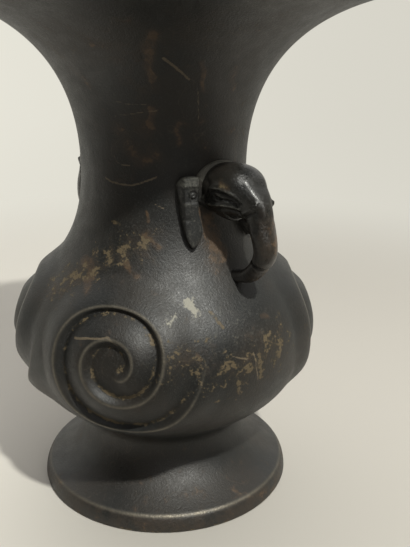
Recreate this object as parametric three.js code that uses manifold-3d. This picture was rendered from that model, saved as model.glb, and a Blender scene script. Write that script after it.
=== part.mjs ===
import * as THREE from 'three';
import { mergeVertices } from 'three/addons/utils/BufferGeometryUtils.js';
import Module from 'manifold-3d';

// A baluster vase of dark patinated bronze, cast in three sections, with two elephant-head handles.
// Millimetres, +Z up. The origin is the centre of the foot's underside, and the handles lie on +X and -X.

// Outline of the vessel, from the floor up. A sweep is how far the curve runs on straight from that level.
const FOOT_RADIUS = 60;
const FOOT_BAND_HEIGHT = 7.5;
const FOOT_BAND_TAPER = 2.1;
const FLARE_SWEEP_IN = 8.9;
const FLARE_SWEEP_UP = 4.7;
const STEM_RADIUS = 38;
const STEM_HEIGHT = 30;
const STEM_SWEEP_DOWN = 11.5;
const STEM_SWEEP_UP = 12.3;
const BELLY_RADIUS = 67.2;
const BELLY_HEIGHT = 77;
const BELLY_SWEEP_DOWN = 35.3;
const BELLY_SWEEP_UP = 30.9;
const NECK_RADIUS = 36.8;
const NECK_HEIGHT = 153;
const NECK_SWEEP_DOWN = 47.6;
const NECK_SWEEP_UP = 33;
const MOUTH_RADIUS = 91;
const MOUTH_HEIGHT = 223.2;
const MOUTH_SWEEP_IN = 40.4;
const MOUTH_SWEEP_DOWN = 10.2;
const LIP_THICKNESS = 3.8;

// Walls, and the joints between the three castings
const WALL = 3;
const FOOT_WALL = 4;
const NECK_SEAM_BELOW_NECK = 29;
const FOOT_SEAM_ABOVE_STEM = 3;
const SPIGOT_LENGTH = 6;
const SPIGOT_WALL = 2;
const SEAT_GAP = 0.3;

// Base plate, let into the foot from below
const FOOT_RIM_WIDTH = 8.7;
const BASE_PLATE_THICKNESS = 2.5;
const BASE_PLATE_RECESS = 3;
const BASE_LEDGE_WIDTH = 3.5;

// Scrolls cast on the belly: two on each face, each a spiral ridge that winds in from a fading tail
const SCROLL_ANGLES = [-55.8, -125.8, 124.2, 54.2];
const SCROLL_ABOVE_BELLY = 6.8;
const SCROLL_TAIL_RADIUS = 37.3;
const SCROLL_STEP = 18.8;
const SCROLL_STEP_EASE = 2.05;
const SCROLL_TURNS = 2.3;
const SCROLL_TAIL_TURNS = 0.28;
const SCROLL_TAIL_ANGLE = -8;
const SCROLL_SQUEEZE = 1.06;
const SCROLL_RELIEF = 2.9;
const SCROLL_FLANK = 14;
const SCROLL_DROP = 4;

// Elephant heads; a tilt is in radians, nose down
const HEAD_BELOW_NECK = 4.8;
const HEAD_WIDTH = 22.6;
const HEAD_HEIGHT = 22.2;
const HEAD_LENGTH = 19;
const HEAD_ROOT_DEPTH = 2;
const COLLAR_HEIGHT = 23.4;
const COLLAR_OVERHANG = 0.2;
const COLLAR_THICKNESS = 2.6;
const JAW_LENGTH = 13;
const JAW_WIDTH = 12;
const JAW_DEPTH = 11;
const JAW_TILT = -0.15;
const LIP_TILT = 0.5;
const EYE_TILT = 0.45;
const TRUNK_ROOT_WIDTH = 10.8;
const TRUNK_WIDTH = 8.8;
const TRUNK_TIP_WIDTH = 5.2;
const TRUNK_STAND_OFF = 15.4;
const TRUNK_DROP = 34.6;
const TRUNK_BEND = 12;
const TENON_DIAMETER = 8;
const PEEN_DIAMETER = 11;
const PEEN_THICKNESS = 1.6;
const WASHER_DIAMETER = 15;
const WASHER_THICKNESS = 1.4;
const TRUNK_PIN_DIAMETER = 2;
const TRUNK_PIN_DEPTH = 4.5;

// Ears and their rivets
const EAR_HEAD_GAP = 1.3;
const EAR_LENGTH = 29;
const EAR_WIDTH = 8.6;
const EAR_THICKNESS = 4;
const EAR_TOP_ABOVE_HEAD = 6;
const EAR_RIVET_BELOW_TOP = 6.6;
const RIVET_DIAMETER = 2.4;
const RIVET_HEAD_DIAMETER = 4.4;
const RIVET_HEAD_HEIGHT = 1.1;

// How finely round things are cut
const ROUND_SIDES = 36;
const BELLY_COLUMNS = 3 * ROUND_SIDES;
const BELLY_ROWS = 27;
const CURVE_STEPS = 6;
const HEAD_SIDES = 16;
const SMALL_SIDES = 12;
const MERGE_DISTANCE = 1e-3;

const wasm = await Module();
wasm.setup();

const bronze = new THREE.MeshStandardMaterial({ color: 0x2c2a27, roughness: 0.45, metalness: 0.85 });
const polishedBronze = new THREE.MeshStandardMaterial({ color: 0x24231f, roughness: 0.32, metalness: 0.9 });
const wornBronze = new THREE.MeshStandardMaterial({ color: 0x4a3a28, roughness: 0.5, metalness: 0.85 });

// A closed mesh as a solid, with its faces turned outwards
function solidOf(geometry) {
  const bare = new THREE.BufferGeometry();
  bare.setAttribute('position', geometry.getAttribute('position'));
  bare.setIndex(geometry.getIndex());
  const merged = mergeVertices(bare, MERGE_DISTANCE);
  const position = merged.getAttribute('position');
  const corners = Array.from(merged.getIndex().array);
  const triangles = [];
  let volume = 0;
  const [a, b, c] = [new THREE.Vector3(), new THREE.Vector3(), new THREE.Vector3()];
  for (let i = 0; i < corners.length; i += 3) {
    const [p, q, r] = corners.slice(i, i + 3);
    if (p === q || q === r || r === p) continue;
    triangles.push([p, q, r]);
    a.fromBufferAttribute(position, p);
    b.fromBufferAttribute(position, q);
    c.fromBufferAttribute(position, r);
    volume += a.dot(b.cross(c));
  }
  const facingOut = volume > 0 ? triangles : triangles.map(([p, q, r]) => [p, r, q]);
  return new wasm.Manifold(new wasm.Mesh({
    numProp: 3,
    vertProperties: new Float32Array(position.array),
    triVerts: new Uint32Array(facingOut.flat()),
  }));
}

function meshOf(name, solid, material) {
  const { vertProperties, triVerts } = solid.getMesh();
  const geometry = new THREE.BufferGeometry();
  geometry.setAttribute('position', new THREE.BufferAttribute(new Float32Array(vertProperties), 3));
  geometry.setIndex(new THREE.BufferAttribute(new Uint32Array(triVerts), 1));
  geometry.computeVertexNormals();
  const mesh = new THREE.Mesh(geometry, material);
  mesh.name = name;
  return mesh;
}

// A closed outline of [radius, height] points, turned about Z
function turned(outline, sides = ROUND_SIDES) {
  const points = outline.map(([radius, height]) => new THREE.Vector2(radius, height));
  const geometry = new THREE.LatheGeometry([...points, points[0].clone()], sides);
  geometry.rotateX(Math.PI / 2);
  return solidOf(geometry);
}

// A round bar along X, from one distance to another
function bar(diameter, from, to, sides = SMALL_SIDES) {
  const geometry = new THREE.CylinderGeometry(diameter / 2, diameter / 2, to - from, sides);
  geometry.rotateZ(Math.PI / 2);
  geometry.translate((from + to) / 2, 0, 0);
  return geometry;
}

// Rings of points, closed at both ends, as one skin
function skinOf(rings) {
  const sides = rings[0].length;
  const middle = (ring) => {
    const sum = ring.reduce((total, point) => total.add(point), new THREE.Vector3());
    return sum.divideScalar(sides);
  };
  const points = [...rings.flat(), middle(rings[0]), middle(rings.at(-1))];
  const [firstEnd, lastEnd] = [points.length - 2, points.length - 1];
  const faces = [];
  for (let side = 0; side < sides; side += 1) {
    const next = (side + 1) % sides;
    faces.push(firstEnd, next, side);
    for (let ring = 0; ring + 1 < rings.length; ring += 1) {
      const [low, high] = [ring * sides, (ring + 1) * sides];
      faces.push(low + side, low + next, high + next);
      faces.push(low + side, high + next, high + side);
    }
    const last = (rings.length - 1) * sides;
    faces.push(lastEnd, last + side, last + next);
  }
  const geometry = new THREE.BufferGeometry();
  geometry.setFromPoints(points);
  geometry.setIndex(faces);
  return geometry;
}

function curveBetween(start, startPull, endPull, end) {
  const [a, b, c, d] = [start, startPull, endPull, end].map(([x, y]) => new THREE.Vector2(x, y));
  return new THREE.CubicBezierCurve(a, b, c, d);
}

// The vessel's outer face: foot flare, lower belly, shoulder and trumpet
const bandTopRadius = FOOT_RADIUS - FOOT_BAND_TAPER;
const footFlare = curveBetween(
  [bandTopRadius, FOOT_BAND_HEIGHT],
  [bandTopRadius - FLARE_SWEEP_IN, FOOT_BAND_HEIGHT + FLARE_SWEEP_UP],
  [STEM_RADIUS, STEM_HEIGHT - STEM_SWEEP_DOWN],
  [STEM_RADIUS, STEM_HEIGHT],
);
const lowerBelly = curveBetween(
  [STEM_RADIUS, STEM_HEIGHT],
  [STEM_RADIUS, STEM_HEIGHT + STEM_SWEEP_UP],
  [BELLY_RADIUS, BELLY_HEIGHT - BELLY_SWEEP_DOWN],
  [BELLY_RADIUS, BELLY_HEIGHT],
);
const shoulder = curveBetween(
  [BELLY_RADIUS, BELLY_HEIGHT],
  [BELLY_RADIUS, BELLY_HEIGHT + BELLY_SWEEP_UP],
  [NECK_RADIUS, NECK_HEIGHT - NECK_SWEEP_DOWN],
  [NECK_RADIUS, NECK_HEIGHT],
);
const trumpet = curveBetween(
  [NECK_RADIUS, NECK_HEIGHT],
  [NECK_RADIUS, NECK_HEIGHT + NECK_SWEEP_UP],
  [MOUTH_RADIUS - MOUTH_SWEEP_IN, MOUTH_HEIGHT - MOUTH_SWEEP_DOWN],
  [MOUTH_RADIUS, MOUTH_HEIGHT],
);
const FINE_STEPS = 400;
const outerFace = [footFlare, lowerBelly, shoulder, trumpet].flatMap((curve) => curve.getPoints(FINE_STEPS));

// Outer radius at a height, from the finely divided face
function outerRadius(height) {
  const above = outerFace.findIndex((point) => point.y >= height);
  if (above === 0) return outerFace[0].x;
  const [low, high] = [outerFace[above - 1], outerFace[above]];
  return THREE.MathUtils.mapLinear(height, low.y, high.y, low.x, high.x);
}

function facePoint(height, inset = 0) {
  return [outerRadius(height) - inset, height];
}

function evenHeights(from, to, steps) {
  return Array.from({ length: steps + 1 }, (_, i) => THREE.MathUtils.lerp(from, to, i / steps));
}

const neckSeam = NECK_HEIGHT - NECK_SEAM_BELOW_NECK;
const footSeam = STEM_HEIGHT + FOOT_SEAM_ABOVE_STEM;
const plateRadius = FOOT_RADIUS - FOOT_RIM_WIDTH - SEAT_GAP;
const socketRadius = outerRadius(neckSeam) - WALL;
const stemBore = outerRadius(footSeam) - FOOT_WALL;

function trumpetSteps() {
  return Array.from({ length: 2 * CURVE_STEPS }, (_, i) => (i + 1) / (2 * CURVE_STEPS));
}

// Neck and trumpet mouth: plain curve outside, wall set in square to it, thickened lip, spigot below
function neckCasting() {
  const lowFace = evenHeights(neckSeam + SEAT_GAP, NECK_HEIGHT, CURVE_STEPS).map((z) => facePoint(z));
  const outerTrumpet = trumpetSteps().map((t) => trumpet.getPoint(t).toArray());
  const innerTrumpet = trumpetSteps().map((t) => {
    const [point, along] = [trumpet.getPoint(t), trumpet.getTangent(t)];
    return [point.x - WALL * along.y, point.y + WALL * along.x];
  });
  const lip = [
    [MOUTH_RADIUS + LIP_THICKNESS * 0.2, MOUTH_HEIGHT + LIP_THICKNESS * 0.5],
    [MOUTH_RADIUS - LIP_THICKNESS * 0.25, MOUTH_HEIGHT + LIP_THICKNESS],
  ];
  const lowInside = evenHeights(NECK_HEIGHT, neckSeam + SPIGOT_LENGTH, CURVE_STEPS / 2)
    .map((z) => facePoint(z, WALL));
  const spigot = [
    [socketRadius - SEAT_GAP - SPIGOT_WALL, neckSeam - SPIGOT_LENGTH],
    [socketRadius - SEAT_GAP, neckSeam - SPIGOT_LENGTH],
    [socketRadius - SEAT_GAP, neckSeam + SEAT_GAP],
  ];
  return turned([...lowFace, ...outerTrumpet, ...lip, ...innerTrumpet.reverse(), ...lowInside, ...spigot]);
}

// Length along the belly's face between two heights, which lays the scroll out flat
function faceLength(from, to) {
  const steps = 24;
  const points = evenHeights(from, to, steps).map((z) => new THREE.Vector2(...facePoint(z)));
  const length = points.slice(1).reduce((sum, point, i) => sum + point.distanceTo(points[i]), 0);
  return to > from ? length : -length;
}

function crestRadius(turns) {
  return SCROLL_TAIL_RADIUS - SCROLL_STEP * turns + SCROLL_STEP_EASE * turns * turns;
}

// How far one scroll stands proud at a point across and up from its centre
function scrollRelief(across, up) {
  const radius = Math.hypot(across * SCROLL_SQUEEZE, up);
  const angle = THREE.MathUtils.radToDeg(Math.atan2(up, across * SCROLL_SQUEEZE));
  const firstTurn = THREE.MathUtils.euclideanModulo((SCROLL_TAIL_ANGLE - angle) / 360 + SCROLL_TAIL_TURNS, 1);
  let relief = 0;
  for (let turns = firstTurn - SCROLL_TAIL_TURNS; turns < SCROLL_TURNS; turns += 1) {
    const rise = THREE.MathUtils.smoothstep(turns, -SCROLL_TAIL_TURNS, SCROLL_TAIL_TURNS);
    const beyond = radius - crestRadius(turns);
    const reach = beyond > 0 ? beyond / SCROLL_FLANK : -beyond / SCROLL_DROP;
    relief = Math.max(relief, SCROLL_RELIEF * rise * (1 - THREE.MathUtils.smoothstep(reach, 0, 1)));
  }
  return relief;
}

function reliefAt(angle, height) {
  const up = faceLength(BELLY_HEIGHT + SCROLL_ABOVE_BELLY, height);
  const around = SCROLL_ANGLES.map((centre) => {
    const turn = THREE.MathUtils.euclideanModulo(angle - centre + 180, 360) - 180;
    return scrollRelief(THREE.MathUtils.degToRad(turn) * outerRadius(height), up);
  });
  return Math.max(...around);
}

// Belly: relief outside, plain cavity inside, socket for the neck above and spigot into the foot below
function bellyCasting() {
  const [low, high] = [footSeam + SEAT_GAP, neckSeam];
  const rings = evenHeights(low, high, BELLY_ROWS).map((height) => {
    return Array.from({ length: BELLY_COLUMNS }, (_, i) => {
      const angle = (360 * i) / BELLY_COLUMNS;
      const radius = outerRadius(height) + reliefAt(angle, height);
      const turn = THREE.MathUtils.degToRad(angle);
      return new THREE.Vector3(radius * Math.cos(turn), radius * Math.sin(turn), height);
    });
  });
  const boreRadius = stemBore - SEAT_GAP - SPIGOT_WALL;
  const spigotEnd = footSeam - SPIGOT_LENGTH;
  const spigot = turned([
    [0, spigotEnd],
    [stemBore - SEAT_GAP, spigotEnd],
    [stemBore - SEAT_GAP, low + WALL],
    [0, low + WALL],
  ]);
  const inside = evenHeights(low + 2 * WALL, high - SPIGOT_LENGTH - WALL, 2 * CURVE_STEPS)
    .map((z) => facePoint(z, WALL));
  const cavity = turned([
    [0, spigotEnd - 1],
    [boreRadius, spigotEnd - 1],
    [boreRadius, low + WALL],
    ...inside,
    [socketRadius, high - SPIGOT_LENGTH],
    [socketRadius, high + 1],
    [0, high + 1],
  ]);
  return solidOf(skinOf(rings)).add(spigot).subtract(cavity);
}

// Foot: upright band, hollow flare up to the stem, and a ledge that the base plate is pushed up against
function footCasting() {
  const top = footSeam;
  const flare = footFlare.getPoints(CURVE_STEPS).map((point) => point.toArray());
  const ledgeRadius = plateRadius + SEAT_GAP - BASE_LEDGE_WIDTH;
  const ledgeHeight = BASE_PLATE_RECESS + BASE_PLATE_THICKNESS + SEAT_GAP;
  const insideHeights = evenHeights(STEM_HEIGHT - SPIGOT_LENGTH, ledgeHeight + FOOT_WALL, CURVE_STEPS / 2);
  const inside = insideHeights.map((z) => facePoint(z, FOOT_WALL))
    .map(([radius, z]) => [Math.min(radius, ledgeRadius), z]);
  return turned([
    [FOOT_RADIUS, 0],
    ...flare,
    facePoint(top),
    [stemBore, top],
    ...inside,
    [ledgeRadius, ledgeHeight],
    [plateRadius + SEAT_GAP, ledgeHeight],
    [plateRadius + SEAT_GAP, 0],
  ]);
}

function basePlate() {
  const [low, high] = [BASE_PLATE_RECESS, BASE_PLATE_RECESS + BASE_PLATE_THICKNESS];
  return turned([[0, low], [plateRadius, low], [plateRadius, high], [0, high]]);
}

// The vessel's outer face grown by the seat gap, which trims what lies against the neck and the shoulder
function vesselEnvelope() {
  const heights = evenHeights(neckSeam + SEAT_GAP, NECK_HEIGHT, CURVE_STEPS);
  const below = evenHeights(BELLY_HEIGHT, neckSeam, CURVE_STEPS);
  const face = [...below, ...heights].map((z) => facePoint(z, -SEAT_GAP));
  const grown = trumpetSteps().map((t) => trumpet.getPoint(t)).map((point) => [point.x + SEAT_GAP, point.y]);
  return turned([[0, BELLY_HEIGHT], ...face, ...grown, [0, MOUTH_HEIGHT]]);
}

const headHeight = NECK_HEIGHT - HEAD_BELOW_NECK;
const tipHeight = headHeight - TRUNK_DROP;
const tipDistance = outerRadius(tipHeight);
const neckAtHead = outerRadius(headHeight);
const insideAtHead = neckAtHead - WALL;
const washerFace = Math.sqrt(insideAtHead ** 2 - (WASHER_DIAMETER / 2) ** 2) - SEAT_GAP;

// Head and trunk as one sweep: [distance out, height, half width, half depth above, half depth below]
function headStations() {
  const [halfWidth, halfHeight] = [HEAD_WIDTH / 2, HEAD_HEIGHT / 2];
  const trunkLine = tipDistance + TRUNK_STAND_OFF;
  const brow = neckAtHead + HEAD_LENGTH;
  const rootHalf = TRUNK_ROOT_WIDTH / 2;
  const trunkHalf = TRUNK_WIDTH / 2;
  const bendHalf = TRUNK_WIDTH * 0.44;
  const tipHalf = TRUNK_TIP_WIDTH / 2;
  const bendTop = tipHeight + TRUNK_BEND;
  const rootHeight = (headHeight + bendTop) / 2;
  const browTurn = THREE.MathUtils.lerp(brow, trunkLine, 0.53);
  return [
    [neckAtHead - HEAD_ROOT_DEPTH, headHeight - 0.8, halfWidth * 0.84, halfHeight * 0.86, halfHeight * 0.9],
    [neckAtHead + HEAD_LENGTH * 0.27, headHeight + 0.8, halfWidth * 0.97, halfHeight * 0.94, halfHeight * 1.08],
    [neckAtHead + HEAD_LENGTH * 0.66, headHeight + 0.6, halfWidth, halfHeight * 0.9, halfHeight * 1.08],
    [brow, headHeight - HEAD_HEIGHT * 0.11, halfWidth * 0.9, halfHeight * 0.83, halfHeight * 0.9],
    [browTurn, headHeight - HEAD_HEIGHT * 0.4, halfWidth * 0.64, halfHeight * 0.65, halfHeight * 0.61],
    [trunkLine - TRUNK_BEND * 0.1, rootHeight - TRUNK_BEND * 0.4, rootHalf, rootHalf, rootHalf * 0.88],
    [trunkLine, bendTop, trunkHalf, trunkHalf, trunkHalf * 0.92],
    [trunkLine - TRUNK_BEND * 0.1, bendTop - TRUNK_BEND * 0.5, trunkHalf, trunkHalf * 0.95, trunkHalf * 0.9],
    [trunkLine - TRUNK_BEND * 0.42, bendTop - TRUNK_BEND * 0.8, bendHalf, bendHalf * 0.95, bendHalf * 0.93],
    [tipDistance + TRUNK_STAND_OFF * 0.34, tipHeight + 0.7, tipHalf * 1.2, tipHalf * 1.1, tipHalf * 1.1],
    [tipDistance - HEAD_ROOT_DEPTH, tipHeight, tipHalf, tipHalf, tipHalf],
  ];
}

// One number of the stations, smoothly between them
function alongStations(stations, column, position) {
  const numbers = stations.map((station) => new THREE.Vector2(station[column], 0));
  return new THREE.SplineCurve(numbers).getPoint(position).x;
}

function headSweep() {
  const stations = headStations();
  const steps = 2 * (stations.length - 1);
  const path = new THREE.SplineCurve(stations.map(([x, z]) => new THREE.Vector2(x, z)));
  const rings = Array.from({ length: steps + 1 }, (_, i) => {
    const position = i / steps;
    const [centre, along] = [path.getPoint(position), path.getTangent(position)];
    const [halfWidth, above, below] = [2, 3, 4].map((column) => alongStations(stations, column, position));
    return Array.from({ length: HEAD_SIDES }, (unused, side) => {
      const turn = (2 * Math.PI * side) / HEAD_SIDES;
      const depth = Math.sin(turn) * (Math.sin(turn) > 0 ? above : below);
      return new THREE.Vector3(
        centre.x - along.y * depth,
        halfWidth * Math.cos(turn),
        centre.y + along.x * depth,
      );
    });
  });
  return solidOf(skinOf(rings));
}

// A ball squeezed to three half sizes, placed in the handle's own plane and turned in it
function lump(halfSizes, place, tilt) {
  const geometry = new THREE.SphereGeometry(1, SMALL_SIDES, SMALL_SIDES / 2);
  geometry.scale(...halfSizes);
  geometry.rotateY(tilt);
  geometry.translate(...place);
  return solidOf(geometry);
}

// Elephant head: swept head and trunk, lower jaw, lip folds beside the trunk, collar on the neck, tenon
function elephantHead() {
  const brow = neckAtHead + HEAD_LENGTH;
  const jawMiddle = (neckAtHead + COLLAR_THICKNESS + brow) / 2;
  const jawHalves = [JAW_LENGTH / 2, JAW_WIDTH / 2, JAW_DEPTH / 2];
  const jaw = lump(jawHalves, [jawMiddle, 0, headHeight - HEAD_HEIGHT * 0.4], JAW_TILT);
  const collarGeometry = bar(1, neckAtHead - WALL, neckAtHead + COLLAR_THICKNESS, HEAD_SIDES);
  collarGeometry.scale(1, HEAD_WIDTH + 2 * COLLAR_OVERHANG, COLLAR_HEIGHT);
  collarGeometry.translate(0, 0, headHeight);
  let head = headSweep().add(jaw).add(solidOf(collarGeometry));
  for (const side of [-1, 1]) {
    const place = [brow + 1.4, side * HEAD_WIDTH * 0.3, headHeight - HEAD_HEIGHT * 0.42];
    head = head.add(lump([HEAD_LENGTH * 0.27, HEAD_WIDTH * 0.1, HEAD_HEIGHT * 0.1], place, LIP_TILT));
    const eyePlace = [neckAtHead + HEAD_LENGTH * 0.62, side * HEAD_WIDTH * 0.46, headHeight - 0.5];
    head = head.add(lump([HEAD_LENGTH * 0.2, HEAD_WIDTH * 0.07, HEAD_HEIGHT * 0.09], eyePlace, EYE_TILT));
  }
  head = head.subtract(vesselEnvelope());
  const peenFace = washerFace - WASHER_THICKNESS - SEAT_GAP;
  for (const [diameter, from, to] of [
    [TENON_DIAMETER, peenFace - PEEN_THICKNESS / 2, neckAtHead + HEAD_LENGTH / 3],
    [PEEN_DIAMETER, peenFace - PEEN_THICKNESS, peenFace],
  ]) {
    const geometry = bar(diameter, from, to, HEAD_SIDES);
    geometry.translate(0, 0, headHeight);
    head = head.add(solidOf(geometry));
  }
  return head.subtract(trunkPinHole());
}

function trunkPinHole() {
  const [from, to] = [tipDistance - 4 * WALL, tipDistance + TRUNK_PIN_DEPTH + SEAT_GAP];
  const hole = bar(TRUNK_PIN_DIAMETER + 2 * SEAT_GAP, from, to);
  hole.translate(0, 0, tipHeight);
  return solidOf(hole);
}

function trunkPin() {
  const pin = bar(TRUNK_PIN_DIAMETER, tipDistance - WALL - SEAT_GAP, tipDistance + TRUNK_PIN_DEPTH);
  pin.translate(0, 0, tipHeight);
  return solidOf(pin);
}

function tenonHole() {
  const hole = bar(TENON_DIAMETER + 2 * SEAT_GAP, insideAtHead - WALL, neckAtHead + WALL, HEAD_SIDES);
  hole.translate(0, 0, headHeight);
  return solidOf(hole);
}

function headWasher() {
  const [from, to] = [washerFace - 2 * WASHER_THICKNESS, washerFace + WASHER_THICKNESS];
  const hole = bar(TENON_DIAMETER + 2 * SEAT_GAP, from, to, HEAD_SIDES);
  const disc = bar(WASHER_DIAMETER, washerFace - WASHER_THICKNESS, washerFace, HEAD_SIDES);
  const washer = solidOf(disc).subtract(solidOf(hole));
  return washer.translate(0, 0, headHeight);
}

// Ear place: its back touches the neck at its top and at its tip, so it leans out with the shoulder.
// In the ear's own frame X is out from its back, Y runs across it, Z up it, and the rivet is the origin.
const earTop = headHeight + EAR_TOP_ABOVE_HEAD;
const earTip = earTop - EAR_LENGTH;
const earLean = Math.atan2(outerRadius(earTip) - outerRadius(earTop), EAR_LENGTH);
const rivetHeight = earTop - EAR_RIVET_BELOW_TOP;
const earBack = outerRadius(earTop) + EAR_RIVET_BELOW_TOP * Math.tan(earLean) + SEAT_GAP;
const earInner = EAR_WIDTH * 0.36;
const earTurn = Math.asin((HEAD_WIDTH / 2 + EAR_HEAD_GAP + earInner) / earBack);

function earFrame(side) {
  const frame = new THREE.Matrix4().makeRotationZ(side * earTurn);
  frame.multiply(new THREE.Matrix4().makeTranslation(earBack, 0, rivetHeight));
  return frame.multiply(new THREE.Matrix4().makeRotationY(-earLean));
}

function inEarFrame(geometry, side) {
  return solidOf(geometry.applyMatrix4(earFrame(side)));
}

// Ear: a flap with a square top corner, rounded outer edge and pointed tip, and a sunk seat for its rivet
function ear(side) {
  const [inner, outer] = [-earInner, EAR_WIDTH - earInner];
  const [top, tip] = [EAR_RIVET_BELOW_TOP, EAR_RIVET_BELOW_TOP - EAR_LENGTH];
  const outline = new THREE.Shape();
  outline.moveTo(inner, top);
  outline.lineTo(outer * 0.5, top);
  outline.quadraticCurveTo(outer, top, outer, top - EAR_WIDTH * 0.5);
  const up = (share) => tip + EAR_LENGTH * share;
  outline.bezierCurveTo(outer, up(0.5), outer * 0.7, up(0.2), outer * 0.15, tip);
  outline.bezierCurveTo(inner * 1.1, up(0.1), inner * 1.8, up(0.25), inner, up(0.5));
  const geometry = new THREE.ExtrudeGeometry(outline, {
    depth: EAR_THICKNESS,
    bevelEnabled: false,
    curveSegments: 6,
  });
  // The outline's X becomes the ear's width and its Y the ear's length
  geometry.rotateX(Math.PI / 2);
  geometry.rotateZ(Math.PI / 2);
  geometry.scale(1, side, 1);
  const seatFloor = EAR_THICKNESS - RIVET_HEAD_HEIGHT - SEAT_GAP;
  const seat = bar(RIVET_HEAD_DIAMETER + 2 * SEAT_GAP, seatFloor, 2 * EAR_THICKNESS);
  return inEarFrame(geometry, side)
    .subtract(inEarFrame(seat, side))
    .subtract(rivetHole(side))
    .subtract(vesselEnvelope());
}

function rivetHole(side) {
  return inEarFrame(bar(RIVET_DIAMETER + 2 * SEAT_GAP, -4 * WALL, 2 * EAR_THICKNESS), side);
}

function earRivet(side) {
  const headFrom = EAR_THICKNESS - RIVET_HEAD_HEIGHT;
  const shank = bar(RIVET_DIAMETER, -2 * WALL, EAR_THICKNESS - RIVET_HEAD_HEIGHT / 2);
  const head = bar(RIVET_HEAD_DIAMETER, headFrom, EAR_THICKNESS);
  return inEarFrame(shank, side).add(inEarFrame(head, side));
}

// Both handles are the same: the left one is the right one turned half round the vase
const HALF_TURN = 180;
const handles = {
  right: { turn: 0, ears: { front: -1, back: 1 } },
  left: { turn: HALF_TURN, ears: { front: 1, back: -1 } },
};

function drilled(casting, holes) {
  let result = casting;
  for (const { turn } of Object.values(handles)) {
    for (const hole of holes) result = result.subtract(hole.rotate(0, 0, turn));
  }
  return result;
}

const vase = new THREE.Group();
vase.name = 'baluster_vase';
const neckHoles = [tenonHole(), rivetHole(-1), rivetHole(1)];
vase.add(meshOf('neck_casting', drilled(neckCasting(), neckHoles), bronze));
vase.add(meshOf('belly_casting', drilled(bellyCasting(), [trunkPinHole()]), bronze));
vase.add(meshOf('foot_casting', footCasting(), wornBronze));
vase.add(meshOf('base_plate', basePlate(), bronze));

for (const [hand, { turn, ears }] of Object.entries(handles)) {
  const handle = new THREE.Group();
  handle.rotation.z = THREE.MathUtils.degToRad(turn);
  handle.add(meshOf(`${hand}_elephant_head`, elephantHead(), polishedBronze));
  handle.add(meshOf(`${hand}_head_washer`, headWasher(), bronze));
  handle.add(meshOf(`${hand}_trunk_pin`, trunkPin(), bronze));
  for (const [place, side] of Object.entries(ears)) {
    handle.add(meshOf(`${hand}_${place}_ear`, ear(side), polishedBronze));
    handle.add(meshOf(`${hand}_${place}_ear_rivet`, earRivet(side), wornBronze));
  }
  vase.add(handle);
}

export default vase;
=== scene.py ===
import math

import bmesh
import bpy
import numpy as np
from mathutils import Matrix, Vector


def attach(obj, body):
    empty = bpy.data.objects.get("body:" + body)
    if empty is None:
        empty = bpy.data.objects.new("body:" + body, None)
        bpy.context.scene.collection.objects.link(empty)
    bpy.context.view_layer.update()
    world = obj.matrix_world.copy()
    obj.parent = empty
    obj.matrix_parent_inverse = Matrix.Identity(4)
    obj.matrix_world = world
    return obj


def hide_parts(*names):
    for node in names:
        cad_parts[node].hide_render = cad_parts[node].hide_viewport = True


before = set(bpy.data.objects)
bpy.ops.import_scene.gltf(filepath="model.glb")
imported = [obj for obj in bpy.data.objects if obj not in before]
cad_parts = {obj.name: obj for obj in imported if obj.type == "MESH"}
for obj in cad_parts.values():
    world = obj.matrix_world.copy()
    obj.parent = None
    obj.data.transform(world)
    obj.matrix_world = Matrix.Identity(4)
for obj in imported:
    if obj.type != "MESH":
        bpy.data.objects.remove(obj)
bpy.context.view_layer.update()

# Foot: a hollow bronze casting, an upright band with a flare that sweeps up to the stem.
# It stands on the flat rim of the band, which tables and hands have rubbed brown, with a bright line along
# its upper edge: worn metal all round, painted brighter at the front as a highlight. Lengths are in
# millimetres until a mesh is made.
MM = 0.001
SIDES = 360
FOOT_RADIUS = 60.0
BAND_HEIGHT = 7.5
BAND_TOP_RADIUS = 57.9
BAND_EDGE = 0.9
BAND_EDGE_CUT = 0.27
BAND_SWELL = 0.2
BAND_SWELL_HEIGHT = 4.6
STEM_RADIUS = 38.0
STEM_HEIGHT = 30.0
FOOT_SEAM = 33.0
FOOT_WALL = 4.0
FLARE_SWEEP_IN = 8.9
FLARE_SWEEP_UP = 4.0
STEM_SWEEP_DOWN = 11.5
RIM_ROUNDING = 1.2
# Where the rim's painted highlight is brightest, and how far round it fades.
RIM_GLINT_ANGLE = -30.0
RIM_GLINT_REACH = 42.0
PLATE_SEAT_RADIUS = 51.3
LEDGE_RADIUS = 47.8
LEDGE_HEIGHT = 5.8
INSIDE_TOP = 24.0
INSIDE_LOW = 10.0
BAND_STEPS = 24
FLARE_STEPS = 90
RIM_STEPS = 9
FOOT_NECK_STEPS = 6
FOOT_INSIDE_STEPS = 8
# The vessel's outline, which foot, belly and neck share: radii, heights, and how far each curve holds on.
STEM_SWEEP_UP = 12.3
BELLY_RADIUS = 67.2
BELLY_HEIGHT = 77.0
BELLY_SWEEP_DOWN = 35.3
BELLY_SWEEP_UP = 30.9
NECK_RADIUS = 36.8
NECK_HEIGHT = 153.0
NECK_SWEEP_DOWN = 47.6
NECK_SWEEP_UP = 33.0
MOUTH_RADIUS = 91.0
MOUTH_HEIGHT = 223.2
MOUTH_SWEEP_IN = 40.4
MOUTH_SWEEP_DOWN = 10.2
FINE_STEPS = 400
SHARP_EDGE = math.radians(48)


def bezier(controls, steps=FINE_STEPS):
    """Points along a Bezier curve of any degree."""
    share = np.linspace(0, 1, steps)[:, None]
    layers = [np.array(point, float) + 0 * share for point in controls]
    while len(layers) > 1:
        layers = [first + (second - first) * share for first, second in zip(layers, layers[1:])]
    return layers[0]


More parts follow.
